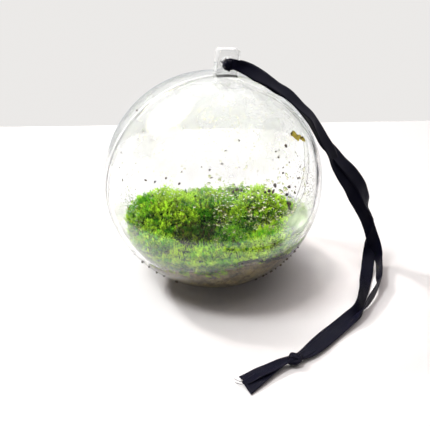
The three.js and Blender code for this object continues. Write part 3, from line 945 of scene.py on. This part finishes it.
# The same on the outer skin: most of them low down, the rest high up and mainly on the right.
OUTER_CRUMBS = [
    (40.2, 26.9, 1.1), (38.0, 25.4, 1.5), (37.1, 22.9, 0.8), (33.5, 22.4, 1.4), (32.0, 21.2, 1.0),
    (32.0, 18.6, 1.4), (28.6, 17.3, 1.0), (24.4, 17.3, 1.5), (21.3, 16.1, 1.1), (19.7, 15.3, 1.5),
    (15.3, 13.4, 1.2), (-68.2, 21.1, 1.3), (-60.6, 16.3, 1.5), (-54.5, 15.5, 1.2),
    (-46.9, 13.0, 1.4), (-74.4, 23.2, 0.9), (-63.8, 19.3, 0.9), (150, 22, 1.1), (110, 19, 1.2),
    (-130, 20, 1.0), (-165, 17, 1.3), (62, 18, 0.9),
    (29.7, 78.7, 1.6), (20.6, 78.2, 0.8), (23.3, 78.3, 0.6), (20.9, 76.1, 0.9), (16.8, 75.9, 0.5),
    (26.2, 75.1, 0.5), (27.2, 73.0, 0.8), (21.7, 72.1, 0.7), (20.8, 70.2, 1.0), (30.0, 65.8, 1.0),
    (-1.3, 84.3, 0.7), (-4.0, 75.7, 0.5), (-95, 86.4, 1.3),
]
# How far from the ball's centre a lump is set, the part of its size that it is then moved in
# by, and the distance from the centre at which its points are held off the skin.
ON_OUTER_SKIN = (BALL_RADIUS + 0.0002, 0.0, BALL_RADIUS + 0.00003)
ON_INNER_SKIN = (INNER_RADIUS - 0.0002, 0.2, INNER_RADIUS - 0.00008)


def crumb_shape(size, rng):
    """A small angular lump."""
    body = bmesh.new()
    bmesh.ops.create_icosphere(body, subdivisions=2, radius=size / 2)
    shift = Vector((rng.uniform(0, 50), rng.uniform(0, 50), rng.uniform(0, 50)))
    for vertex in body.verts:
        bulge = noise.noise(vertex.co * (1.7 / size) + shift)
        vertex.co *= 1 + 0.75 * bulge
    return body


def on_wall(azimuth, height, radius):
    """A point at this height on a skin of the ball, and the way out of it there."""
    flat = math.sqrt(max(1e-9, radius**2 - (height - CENTRE.z) ** 2))
    angle = math.radians(azimuth)
    point = Vector((math.sin(angle) * flat, -math.cos(angle) * flat, height))
    return point, (point - CENTRE).normalized()


def build_crumbs(name, places, finish, seed, outside=False):
    """Lumps stuck to the inner skin, or to the outer one. None of them passes through it."""
    rng = random.Random(seed)
    points, faces = [], []
    skin, moved_in, held_at = ON_OUTER_SKIN if outside else ON_INNER_SKIN
    hold = max if outside else min
    for azimuth, height, size in places:
        body = crumb_shape(size, rng)
        place, out = on_wall(azimuth, height, skin)
        spin = Matrix.Rotation(rng.uniform(0, 6.3), 3, "Z").to_quaternion()
        turn = out.to_track_quat("Z", "X") @ spin
        stretch = Matrix.Diagonal((rng.uniform(0.7, 1.4), rng.uniform(0.6, 1.0), 0.42))
        start = len(points)
        for vertex in body.verts:
            from_centre = place - out * size * moved_in + turn @ (stretch @ vertex.co) - CENTRE
            away = hold(from_centre.length, held_at)
            points.append(tuple(CENTRE + from_centre.normalized() * away))
        body.verts.index_update()
        faces += [[start + vertex.index for vertex in face.verts] for face in body.faces]
        body.free()
    piece = new_piece(name, points, faces)
    piece.data.materials.append(finish)
    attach(piece, "root")


def in_metres(places):
    """The listed places, with their heights and sizes in metres."""
    return [(azimuth, height / 1000, size / 1000) for azimuth, height, size in places]


def scattered_crumbs(count, seed):
    """Crumbs for the rest of the wall, more of them low down."""
    rng = random.Random(seed)
    places = []
    for _ in range(count):
        azimuth = rng.uniform(70, 300)
        height = 0.030 + 0.062 * rng.random() ** 1.8
        places.append((azimuth, height, rng.choice((0.0004, 0.0005, 0.0007, 0.0009))))
    return places


def shaded_line(count, seed):
    """Near-black crumbs along the overhanging moss's lower edge on the front right: painted shade
    where the moss shades the soil.
    """
    rng = random.Random(seed)
    places = []
    for azimuth in np.linspace(-3, 74, count):
        edge = pressed_low_edge(azimuth) + ragged_edge(azimuth)
        height = edge + 0.0009 + rng.gauss(0, 0.0004)
        places.append((azimuth + rng.uniform(-1, 1), height, rng.uniform(0.0009, 0.0015)))
    return places


stuck_soil = earth_finish("stuck_soil", (0.012, 0.008, 0.005, 1), (0.09, 0.06, 0.03, 1), 0.4)
# Near-black: the colour of painted shade under the moss's edge.
shaded_soil = earth_finish("shaded_soil", (0.003, 0.005, 0.002, 1), (0.014, 0.022, 0.006, 1), 0.5)
build_crumbs("crumbs_front", in_metres(STUCK_CRUMBS), stuck_soil, 4)
build_crumbs("crumbs_outside", in_metres(OUTER_CRUMBS), stuck_soil, 6, outside=True)
build_crumbs("crumbs_shaded", shaded_line(240, 8), shaded_soil, 7)
build_crumbs("crumbs_round", scattered_crumbs(70, 9), stuck_soil, 5)


# ---------------------------------------------------------------- the scrap of leaf
# A curled yellow scrap of dead leaf, stuck high on the right of the outer skin: a blade in
# two lobes and its stalk.

SCRAP_CURLS = [
    # width, then degrees from -Y towards +X and height in mm along the curl
    (0.0022, [(37.0, 78.6), (38.2, 81.0), (40.4, 79.4), (42.0, 77.6)]),
    (0.0016, [(39.6, 78.8), (42.6, 78.8), (45.4, 77.6), (46.8, 76.2)]),
    (0.0011, [(45.0, 77.8), (47.4, 77.2), (48.6, 75.6)]),
]


def build_scrap(steps=14):
    """Each curl is one strip that tapers to both ends and stands a little off the skin."""
    points, faces = [], []
    for width, curl in SCRAP_CURLS:
        at = np.linspace(0, len(curl) - 1, steps)
        azimuths, heights = (np.interp(at, range(len(curl)), row) for row in zip(*curl))
        line = [on_wall(a, h / 1000, 0.0501) for a, h in zip(azimuths, heights)]
        start = len(points)
        for i, (place, out) in enumerate(line):
            along = (line[min(i + 1, steps - 1)][0] - line[max(i - 1, 0)][0]).normalized()
            taper = width * (0.35 + 0.65 * math.sin(math.pi * (i + 0.5) / steps))
            across = out.cross(along) * taper * 0.8 + out * taper * 0.6
            bend = out.cross(along) * (0.0003 * math.sin(i * 1.3))
            points += [tuple(place), tuple(place + across + bend)]
        faces += [(start + 2 * i, start + 2 * i + 1, start + 2 * i + 3, start + 2 * i + 2)
                  for i in range(steps - 1)]
    piece = new_piece("leaf_scrap", points, faces)
    piece.data.materials.append(scrap_finish())
    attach(piece, "root")


def scrap_finish():
    """Dead yellow leaf with brown blotches."""
    material, nodes = new_material("dead_leaf")
    blotches = nodes.noise(nodes.place(), 900.0)
    colour = nodes.two_colours(blotches, (0.42, (0.07, 0.045, 0.01, 1)),
                               (0.50, (0.72, 0.60, 0.08, 1)))
    nodes.surface(nodes.principled({"Base Color": colour, "Roughness": 0.6}))
    return material


build_scrap()


# ---------------------------------------------------------------- dew on the inside
# Water breathed out by the moss hangs inside the ball as small clear domes. They are
# densest on the front right, over the moss, and sparse elsewhere.

DEW_SKIN = 0.04796  # how far from the ball's centre the flat side of a drop lies
DEW_RISE = 0.62  # how far a drop stands out, as a part of its radius


def dew_places(seed):
    """Azimuth, height and radius of every drop."""
    rng = random.Random(seed)
    places = []
    for _ in range(230):
        size = 0.00018 + 0.0005 * rng.random() ** 2.2
        places.append((rng.gauss(10, 15), rng.gauss(0.058, 0.0085), size))
    for _ in range(60):
        size = 0.00018 + 0.0005 * rng.random() ** 2
        places.append((rng.gauss(-15, 1.8), rng.uniform(0.042, 0.073), size))
    for _ in range(60):
        places.append((rng.gauss(7, 14), rng.gauss(0.058, 0.006), rng.uniform(0.0004, 0.0009)))
    for _ in range(330):
        places.append((rng.gauss(-14, 30), rng.gauss(0.088, 0.005), rng.uniform(0.00016, 0.0004)))
    for _ in range(420):
        places.append((rng.uniform(0, 360), rng.uniform(0.036, 0.093), rng.uniform(0.00016, 0.0004)))
    return [p for p in places if 0.036 < p[1] < 0.0955]


def build_dew(seed=12, rings=4, sides=10):
    """Each drop is a closed dome, flat towards the wall and a hair off it."""
    rng = random.Random(seed)
    points, faces = [], []
    angles = [2 * math.pi * side / sides for side in range(sides)]
    for azimuth, height, radius in dew_places(seed):
        place, out = on_wall(azimuth, height, DEW_SKIN)
        turns = rng.uniform(0, 6.3), rng.uniform(0, 6.3)
        outline = [Vector((math.cos(a), math.sin(a), 0)) * radius
                   * (1 + 0.24 * math.sin(2 * a + turns[0]) + 0.13 * math.sin(3 * a + turns[1]))
                   for a in angles]
        facing = out.to_track_quat("Z", "X")
        first = len(points) + 1
        points.append(place)
        for ring in range(1, rings + 1):
            flat = [place + facing @ (edge * ring / rings) - CENTRE for edge in outline]
            points += [CENTRE + point.normalized() * DEW_SKIN for point in flat]
        for ring in range(rings - 1, 0, -1):
            slope = math.pi / 2 * ring / rings
            foot = place - out * DEW_RISE * radius * math.cos(slope)
            points += [foot + facing @ (edge * math.sin(slope)) for edge in outline]
        points.append(place - out * radius * DEW_RISE)
        last = len(points) - 1
        faces += (ring_faces(2 * rings - 1, sides) + first).tolist()
        for side in range(sides):
            following = (side + 1) % sides
            faces.append((first - 1, first + following, first + side))
            faces.append((last - sides + side, last - sides + following, last))
    mesh = bpy.data.meshes.new("dew_drops")
    mesh.from_pydata([tuple(p) for p in points], [], faces)
    mesh.shade_smooth()
    piece = bpy.data.objects.new("dew_drops", mesh)
    bpy.context.scene.collection.objects.link(piece)
    clean_solid(piece)
    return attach(piece, "root")


def water_finish():
    """Clear water, tinted a little yellow, which paints the drops' bright spots cream: a painted
    warmth of their highlights.
    """
    material, nodes = new_material("dew_water")
    marks = nodes.group(handling_marks, Scale=400.0)
    water = nodes.principled({
        "Base Color": (1, 0.98, 0.74, 1), "Transmission Weight": 1.0, "IOR": 1.333,
        "Roughness": nodes.ramp(marks["Unevenness"], high=0.03)})
    lit_through(nodes, water, (0.97, 0.975, 0.975, 1))
    return material


dew_drops = build_dew()
dew_drops.data.materials.append(water_finish())


# ---------------------------------------------------------------- the ribbon
# One length of quarter-inch satin ribbon, threaded through the tab's hole. Both strands
# lean on the ball's shoulder, drop to the table, wind about each other and are tied
# together in one overhand knot, which leaves two cut tails.

RIBBON_WIDTH = 0.0064
RIBBON_THICKNESS = 0.00034
HOLE_CENTRE = (0.00625, 0.0, 0.104)

# Stations: x, y, z, roll in degrees (0 lies flat, 90 stands on edge) and the gathered
# width where it isn't the full width.
FRONT_STRAND = [
    (0.0065, 0.0008, 0.1042, 90, 0.0042), (0.0075, -0.0040, 0.1049, 89, 0.0045),
    (0.0102, -0.0051, 0.1040, 79, 0.0048), (0.0131, -0.0057, 0.1027, 60, 0.0056),
    (0.0162, -0.0066, 0.1009, 47, 0.0062), (0.0209, -0.0084, 0.0983, 35, 0.0063),
    (0.0260, -0.0095, 0.0946, 28), (0.0311, -0.0110, 0.0908, 27), (0.0365, -0.0132, 0.0853, 24),
    (0.0414, -0.0143, 0.0804, 23), (0.0448, -0.0151, 0.0745, 30), (0.0475, -0.0163, 0.0689, 39),
    (0.0505, -0.0173, 0.0637, 44), (0.0530, -0.0177, 0.0576, 49), (0.0561, -0.0185, 0.0520, 58),
    (0.0596, -0.0192, 0.0464, 66), (0.0630, -0.0194, 0.0401, 76), (0.0668, -0.0197, 0.0340, 84),
    (0.0705, -0.0197, 0.0274, 84), (0.0733, -0.0200, 0.0204, 74), (0.0755, -0.0204, 0.0142, 70),
    (0.0771, -0.0220, 0.0087, 71), (0.0772, -0.0252, 0.0051, 70), (0.0753, -0.0294, 0.0037, 67),
    (0.0724, -0.0347, 0.0037, 67), (0.0695, -0.0404, 0.0039, 79), (0.0652, -0.0453, 0.0042, 91),
    (0.0602, -0.0501, 0.0040, 95), (0.0548, -0.0545, 0.0037, 82), (0.0492, -0.0581, 0.0032, 49),
    (0.0433, -0.0612, 0.0025, 13), (0.0374, -0.0643, 0.0022, -3), (0.0311, -0.0679, 0.0021, -6),
    (0.0247, -0.0717, 0.0021, -5), (0.0188, -0.0750, 0.0020, -3, 0.0054),
    (0.0136, -0.0770, 0.0025, -6, 0.0041), (0.0094, -0.0785, 0.0031, 0, 0.0034),
]
BACK_STRAND = [
    (0.0065, -0.0008, 0.1042, 90, 0.0042), (0.0073, 0.0032, 0.1034, 83, 0.0041),
    (0.0106, 0.0039, 0.1027, 76, 0.0032), (0.0139, 0.0017, 0.1023, 65, 0.0034),
    (0.0157, -0.0026, 0.1015, 56, 0.0049), (0.0173, -0.0046, 0.1000, 50),
    (0.0212, -0.0065, 0.0976, 41), (0.0262, -0.0081, 0.0938, 34), (0.0314, -0.0097, 0.0900, 23),
    (0.0358, -0.0111, 0.0849, 16), (0.0399, -0.0124, 0.0795, 18), (0.0438, -0.0135, 0.0739, 29),
    (0.0476, -0.0144, 0.0678, 40), (0.0524, -0.0156, 0.0627, 40), (0.0565, -0.0169, 0.0575, 44),
    (0.0608, -0.0177, 0.0527, 60), (0.0640, -0.0178, 0.0486, 67), (0.0671, -0.0181, 0.0441, 63),
    (0.0691, -0.0181, 0.0400, 53), (0.0709, -0.0186, 0.0353, 42), (0.0723, -0.0185, 0.0306, 25),
    (0.0730, -0.0182, 0.0255, 4), (0.0734, -0.0179, 0.0200, -13), (0.0739, -0.0184, 0.0144, -23),
    (0.0740, -0.0199, 0.0095, -24), (0.0731, -0.0223, 0.0057, -19), (0.0712, -0.0254, 0.0034, -19),
    (0.0687, -0.0294, 0.0021, -23), (0.0655, -0.0343, 0.0020, -29), (0.0620, -0.0396, 0.0025, -39),
    (0.0589, -0.0444, 0.0030, -48), (0.0559, -0.0487, 0.0032, -55), (0.0528, -0.0531, 0.0032, -56),
    (0.0489, -0.0572, 0.0029, -49), (0.0429, -0.0605, 0.0025, -32), (0.0355, -0.0641, 0.0017, -20),
    (0.0284, -0.0677, 0.0017, -10), (0.0218, -0.0715, 0.0018, -2, 0.0060),
    (0.0152, -0.0754, 0.0023, -0, 0.0046), (0.0098, -0.0780, 0.0029, 4, 0.0034),
]
FIRST_TAIL = [
    (0.0089, -0.0777, 0.0033, 8, 0.0036), (0.0038, -0.0784, 0.0029, 7, 0.0052),
    (-0.0021, -0.0797, 0.0025, 9), (-0.0079, -0.0811, 0.0024, 8), (-0.0142, -0.0827, 0.0019, 8),
]
SECOND_TAIL = [
    (0.0090, -0.0782, 0.0028, 30, 0.0029), (0.0032, -0.0791, 0.0023, 20, 0.0045),
    (-0.0025, -0.0809, 0.0019, 8, 0.0056), (-0.0083, -0.0837, 0.0019, -5, 0.0062),
    (-0.0145, -0.0870, 0.0017, -19),
]


def smooth_row(values, count):
    """The same row of values or points, passed through smoothly at many more places."""
    values = np.asarray(values, float).reshape(len(values), -1)
    padded = np.concatenate([2 * values[:1] - values[1:2], values, 2 * values[-1:] - values[-2:-1]])
    at = np.linspace(0, len(values) - 1, count)
    first = np.minimum(at.astype(int), len(values) - 2)
    t = (at - first)[:, None]
    a, b, c, d = (padded[first + k] for k in range(4))
    return 0.5 * (2 * b + (c - a) * t + (2 * a - 5 * b + 4 * c - d) * t**2
                  + (3 * b - a - 3 * c + d) * t**3)


def directions(line):
    """The unit way along a line at each of its points."""
    along = np.gradient(line, axis=0)
    return along / np.linalg.norm(along, axis=1, keepdims=True)


def band_frames(stations, count):
    """Centre line, the way along it, the way across, and the width, all along the band."""
    centres = np.array([s[:3] for s in stations])
    across = []
    for station, tangent in zip(stations, np.gradient(centres, axis=0)):
        along = Vector(tangent).normalized()
        level = along.cross(Vector((0, 0, 1))).normalized()
        turned = Matrix.Rotation(math.radians(station[3]), 3, along) @ level
        if across and turned.dot(across[-1]) < 0:
            turned = -turned
        across.append(turned)
    widths = [s[4] if len(s) > 4 else RIBBON_WIDTH for s in stations]
    line = smooth_row(centres, count)
    along = directions(line)
    side = smooth_row([tuple(v) for v in across], count)
    side -= along * (side * along).sum(axis=1, keepdims=True)
    side /= np.linalg.norm(side, axis=1, keepdims=True)
    return line, along, side, smooth_row(widths, count)


def satin_piece(name, points, faces, marks=None, solid=False):
    """A piece of the ribbon. marks are the places of its points in the weave."""
    piece = new_piece(name, points, faces)
    weave = piece.data.uv_layers.new(name="weave")
    if marks is not None:
        corners = np.empty(len(piece.data.loops), np.int32)
        piece.data.loops.foreach_get("vertex_index", corners)
        weave.data.foreach_set("uv", marks[corners].astype(np.float32).ravel())
    if solid:
        clean_solid(piece)
    piece.data.materials.append(black_satin)
    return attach(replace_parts(piece, "ribbon"), "root")


def satin_band(name, stations, count, cup=0.06, cut=0.0, seed=0):
    """A thin band along its stations, a little cupped across, with soft waves in its edges.
    cut slants its end. Returns the piece and its centre line."""
    line, along, side, widths = band_frames(stations, count)
    through = np.cross(along, side)
    travelled = np.concatenate([[0], np.cumsum(np.linalg.norm(np.diff(line, axis=0), axis=1))])
    columns = np.linspace(-0.5, 0.5, 11)
    points, marks = [], []
    for layer, places in ((1, columns), (-1, columns[::-1])):
        for k in places:
            wave = [noise.noise(Vector((s * 160, seed * 7.3, k * 1.4))) for s in travelled]
            lift = cup * widths[:, 0] * (0.25 - k * k) * 2 + 0.00022 * np.array(wave)
            lift += layer * RIBBON_THICKNESS / 2 * (1 if abs(k) < 0.49 else 0.4)
            row = line + side * widths * k + through * lift[:, None]
            row[-1] += along[-1] * cut * k * RIBBON_WIDTH
            points.append(row)
            marks.append(np.stack([travelled, np.full(count, k * RIBBON_WIDTH)], 1))
    rounds = len(points)
    caps = [(start + k, start + k + 1, start + rounds - 2 - k, start + rounds - 1 - k)
            for start in (0, (count - 1) * rounds) for k in range(len(columns) - 1)]
    piece = satin_piece(name, np.stack(points, 1), np.concatenate([ring_faces(count, rounds), caps]),
                        np.stack(marks, 1).reshape(-1, 2), solid=True)
    return piece, line


def satin_finish():
    """Near-black satin: long warp floats, fine weft ribs, and a sheen along the threads."""
    material, nodes = new_material("black_satin")
    weave = nodes.add("ShaderNodeUVMap", uv_map="weave")["UV"]
    ribs = nodes.add("ShaderNodeTexWave", {"Vector": weave, "Scale": 1100.0, "Distortion": 0.6},
                     bands_direction="X")["Fac"]
    drawn_out = nodes.add("ShaderNodeMapping", {"Vector": weave, "Scale": (260, 5200, 1)})["Vector"]
    threads = nodes.noise(drawn_out, 1.0, Detail=3.0)
    nodes.surface(nodes.principled({
        "Base Color": nodes.blended(threads, (0.002, 0.0018, 0.005, 1), (0.006, 0.006, 0.017, 1)),
        "Roughness": nodes.ramp(threads, low=0.34, high=0.52),
        "Normal": nodes.bump(nodes.math("ADD", ribs, threads), 0.35, 0.00008),
        "Sheen Weight": 0.006, "Sheen Roughness": 0.4, "Anisotropic": 0.5,
        "Specular IOR Level": 0.08}))
    return material


black_satin = satin_finish()
front_strand, front_line = satin_band("ribbon_front_strand", FRONT_STRAND, 460, cup=0.07, seed=1)
back_strand, back_line = satin_band("ribbon_back_strand", BACK_STRAND, 460, cup=0.06, seed=2)
first_tail, _ = satin_band("ribbon_first_tail", FIRST_TAIL, 70, cup=0.1, cut=0.1, seed=3)
second_tail, _ = satin_band("ribbon_second_tail", SECOND_TAIL, 70, cup=0.08, cut=-0.25, seed=4)


def gathered_turn(along=17, around=72):
    """Where it passes through the tab the ribbon is gathered into a pleated bunch."""
    places = np.linspace(-0.0037, 0.0037, along)
    angles = np.linspace(0, 2 * math.pi, around, endpoint=False)
    points = []
    for i, y in enumerate(places):
        pleats = 0.00024 * np.sin(7 * angles + 0.5 * i) + 0.00012 * np.sin(11 * angles - 0.3 * i)
        radius = (0.00235 + pleats) * (0.75 if i in (0, along - 1) else 1.0)
        points.append(np.stack([HOLE_CENTRE[0] + radius * np.cos(angles), np.full(around, y),
                                HOLE_CENTRE[2] + radius * np.sin(angles)], 1))
    points.append([[HOLE_CENTRE[0], y, HOLE_CENTRE[2]] for y in (places[0], places[-1])])
    faces = [ring_faces(along, around)]
    pairs = np.arange(around)[::2]
    for first, middle in ((0, along * around), ((along - 1) * around, along * around + 1)):
        faces.append(np.stack([np.full(len(pairs), middle), first + pairs, first + pairs + 1,
                               first + (pairs + 2) % around], 1))
    return satin_piece("ribbon_in_hole", np.concatenate(points), np.concatenate(faces), solid=True)


gathered = gathered_turn()


# The overhand knot: both strands go once round themselves and are drawn tight, so a wrap
# of folded satin crosses over a small firm lump.

KNOT_PLACE = Vector((0.0098, -0.0779, 0.0028))
KNOT_RUN = math.radians(25.5)


def knot_heart(along=34, around=40):
    """The tight folded lump inside the wrap, drawn out along the ribbon."""
    axis = np.array([math.cos(KNOT_RUN), math.sin(KNOT_RUN), 0])
    side = np.array([-math.sin(KNOT_RUN), math.cos(KNOT_RUN), 0])
    angles = np.linspace(0, 2 * math.pi, around, endpoint=False)
    points = []
    for u in np.linspace(-1, 1, along):
        folds = 1 + 0.16 * np.sin(3 * angles + 5 * u) + 0.07 * np.sin(7 * angles - 4 * u)
        radius = 0.0019 * math.sqrt(max(0.02, 1 - u * u)) * folds
        middle = np.array(KNOT_PLACE) + axis * 0.0042 * u - side * 0.0008 * math.cos(1.6 * u)
        points.append(middle + side * (1.15 * radius * np.cos(angles))[:, None]
                      + np.array([0, 0, 1]) * (0.85 * radius * np.sin(angles))[:, None])
    points = np.concatenate(points)
    points[:, 2] = np.maximum(points[:, 2], 0.0003)
    return satin_piece("ribbon_knot_heart", points, ring_faces(along, around))


def knot_wrap(along=90):
    """One tight turn of the band round the lump, 3 mm wide where it is gathered."""
    spin = (Matrix.Rotation(math.radians(52), 3, "Z")
            @ Matrix.Rotation(math.radians(-6), 3, "Y"))
    stations = [spin @ Vector((0, math.cos(a) * 0.0023, math.sin(a) * 0.0017))
                for a in (2 * math.pi * i / 14 for i in range(15))]
    out = np.array([tuple(station.normalized()) for station in stations])
    line = smooth_row([tuple(KNOT_PLACE + station) for station in stations], along)
    away = smooth_row(out, along)
    axis, width = np.array(spin @ Vector((1, 0, 0))), 0.0030
    columns = np.linspace(-0.5, 0.5, 9)
    points = []
    for layer, places in ((1, columns), (-1, columns[::-1])):
        for k in places:
            fold = np.array([noise.noise(Vector((k * 5 + 1, i * 0.12, 1))) for i in range(along)])
            lift = layer * 0.0002 + 0.00045 * fold + 0.0012 * (0.25 - k * k)
            points.append(line + axis * width * k + away * lift[:, None])
    faces = ring_faces(along, len(points))
    points = np.stack(points, 1).reshape(-1, 3)
    points[:, 2] = np.maximum(points[:, 2], 0.0002)
    return satin_piece("ribbon_knot_wrap", points, faces)


knot = [knot_heart(), knot_wrap()]


def loose_thread(name, points, radius=0.00011, along=24, around=6):
    """A frayed thread at a cut end."""
    line = smooth_row(points, along)
    way = directions(line)
    side = np.cross(way, [0.0, 0.0, 1.0])
    side /= np.linalg.norm(side, axis=1, keepdims=True)
    up = np.cross(side, way)
    angles = np.linspace(0, 2 * math.pi, around, endpoint=False)
    points = np.stack([line + radius * (math.cos(a) * side + math.sin(a) * up) for a in angles], 1)
    return satin_piece(name, points, ring_faces(along, around))


threads = [
    loose_thread("ribbon_thread_a", [(-0.0135, -0.0826, 0.0018), (-0.0152, -0.0829, 0.0016),
                                     (-0.0164, -0.0816, 0.0014), (-0.0173, -0.0802, 0.0014)]),
    loose_thread("ribbon_thread_b", [(-0.0136, -0.0836, 0.0014), (-0.0154, -0.0839, 0.0012),
                                     (-0.0166, -0.0830, 0.0010), (-0.0176, -0.0819, 0.0010)]),
]


# ---------------------------------------------------------------- the table and the light
# A white laminate tabletop in front of a pale wall. The light is broad and soft, from a
# window behind on the left and from above. None of it is part of the object.

TABLE_BACK = ((-0.0796, 0.2123), (0.1971, 0.1329))
TABLE_HALF_LENGTH = 1.6
TABLE_DEPTH = 2.4
TOWARDS_CAMERA = (-0.309, -0.951, 0.0)


def build_table():
    """A flat top that ends at its back edge and runs well past the view elsewhere."""
    (x0, y0), (x1, y1) = TABLE_BACK
    along = Vector((x1 - x0, y1 - y0, 0)).normalized()
    back = Vector(((x0 + x1) / 2, (y0 + y1) / 2, 0))
    half, front = along * TABLE_HALF_LENGTH, along.cross(Vector((0, 0, 1))) * TABLE_DEPTH
    corners = [back - half, back + half, back + half + front, back - half + front]
    piece = new_piece("table_top", [tuple(c) for c in corners], [(0, 3, 2, 1)])
    return piece


def table_finish():
    """White laminate. In what mirrors it, the table is painted nearly black on the camera's side
    beyond the ball: a painted dark reflection.
    """
    material, nodes = new_material("white_table")
    place = nodes.place()
    # Painted reflection: mirrored rays see the table nearly black away from the ball on the camera's
    # side.
    far = nodes.ramp(nodes.measure("LENGTH", place), 0.098, 0.106)
    near_side = nodes.ramp(nodes.measure("DOT_PRODUCT", place, TOWARDS_CAMERA), -0.03, 0.0)
    mirrored = nodes.math("GREATER_THAN", nodes.add("ShaderNodeLightPath")["Glossy Depth"], 0.5)
    painted_dark_in_mirror = nodes.math("MULTIPLY", mirrored, nodes.math("MULTIPLY", far, near_side))
    top = nodes.principled({"Base Color": (0.86, 0.855, 0.85, 1), "Roughness": 0.6,
                            "Specular IOR Level": 0.2})
    dark = nodes.add("ShaderNodeBsdfDiffuse", {"Color": (0.05, 0.05, 0.05, 1)})["BSDF"]
    nodes.surface(nodes.mixed(painted_dark_in_mirror, top, dark))
    return material


def room_light():
    """The room: a pale wall behind, and what lights and mirrors in the object: a bright
    ceiling and sides, a window, and a dim side behind the camera."""
    world = bpy.data.worlds.new("pale_room")
    bpy.context.scene.world = world
    world.use_nodes = True
    nodes = Shading(world.node_tree)
    place = nodes.add("ShaderNodeTexCoord")["Generated"]
    towards = nodes.measure("DOT_PRODUCT", place, TOWARDS_CAMERA)
    height = nodes.add("ShaderNodeSeparateXYZ", {"Vector": place})["Z"]

    def light(colour):
        return nodes.add("ShaderNodeBackground", {"Color": colour})["Background"]

    def part_of_room(side, dim_side, dim_from, dim_to, ceiling, low, high):
        dim = nodes.ramp(towards, dim_from, dim_to, smooth=True)
        above = nodes.ramp(height, low, high, smooth=True)
        sides = nodes.blended(dim, (*side, 1), (*dim_side, 1))
        return light(nodes.blended(above, sides, (*ceiling, 1)))

    room = part_of_room((0.85, 0.85, 0.86), (0.06, 0.06, 0.065), 0.15, 0.6,
                        (2.5, 2.5, 2.52), 0.5, 0.85)
    window_side = nodes.measure("DOT_PRODUCT", place, (-0.43, 0.51, 0.745))
    pane = nodes.ramp(window_side, 0.93, 0.99, smooth=True)
    mirrored = nodes.mixed(pane, room, light((17, 15.2, 10.5, 1)))
    lighting = part_of_room((0.085, 0.07, 0.07), (0.025, 0.018, 0.018), 0.1, 0.6,
                            (1.6, 1.45, 1.43), 0.74, 0.95)
    path = nodes.add("ShaderNodeLightPath")
    seen = light((0.835, 0.82, 0.805, 1))
    for depth, after in (("Glossy Depth", mirrored), ("Diffuse Depth", lighting)):
        seen = nodes.mixed(nodes.math("GREATER_THAN", path[depth], 0.5), seen, after)
    nodes.add("ShaderNodeOutputWorld", {"Surface": seen})


def place_and_aim(holder, place, way):
    """Puts a lamp or the camera in the scene, looking this way."""
    holder.location = place
    holder.rotation_mode = "QUATERNION"
    holder.rotation_quaternion = Vector(way).to_track_quat("-Z", "Y")
    bpy.context.scene.collection.objects.link(holder)


def soft_light(name, place, size, power, aim=(0.0, 0.0, 0.03)):
    """A round lamp that doesn't show in what mirrors."""
    lamp = bpy.data.lights.new(name, "AREA")
    lamp.shape, lamp.size, lamp.energy = "DISK", size, power
    holder = bpy.data.objects.new(name, lamp)
    holder.visible_glossy = False
    place_and_aim(holder, place, Vector(aim) - Vector(place))


table_top = build_table()
table_top.data.materials.append(table_finish())
room_light()
soft_light("window_behind", (-0.39, 0.40, 0.617), 0.08, 4.4)
soft_light("lamp_above", (-0.34, -0.06, 0.72), 0.15, 2.9)


# ---------------------------------------------------------------- the camera
# The camera stands in front, a little to the left, and looks down on the ball. Its focal
# length is 763 pixels of a picture 430 pixels wide.

SENSOR_WIDTH = 36.0
lens = bpy.data.cameras.new("camera")
lens.sensor_fit, lens.sensor_width = "HORIZONTAL", SENSOR_WIDTH
lens.lens = SENSOR_WIDTH * 763 / 430
lens.clip_start, lens.clip_end = 0.01, 20.0
camera = bpy.data.objects.new("camera", lens)
place_and_aim(camera, (-0.09719, -0.29913, 0.20944), (0.270986, 0.826629, -0.493205))
bpy.context.scene.camera = camera
bpy.context.scene.view_settings.view_transform = "Standard"
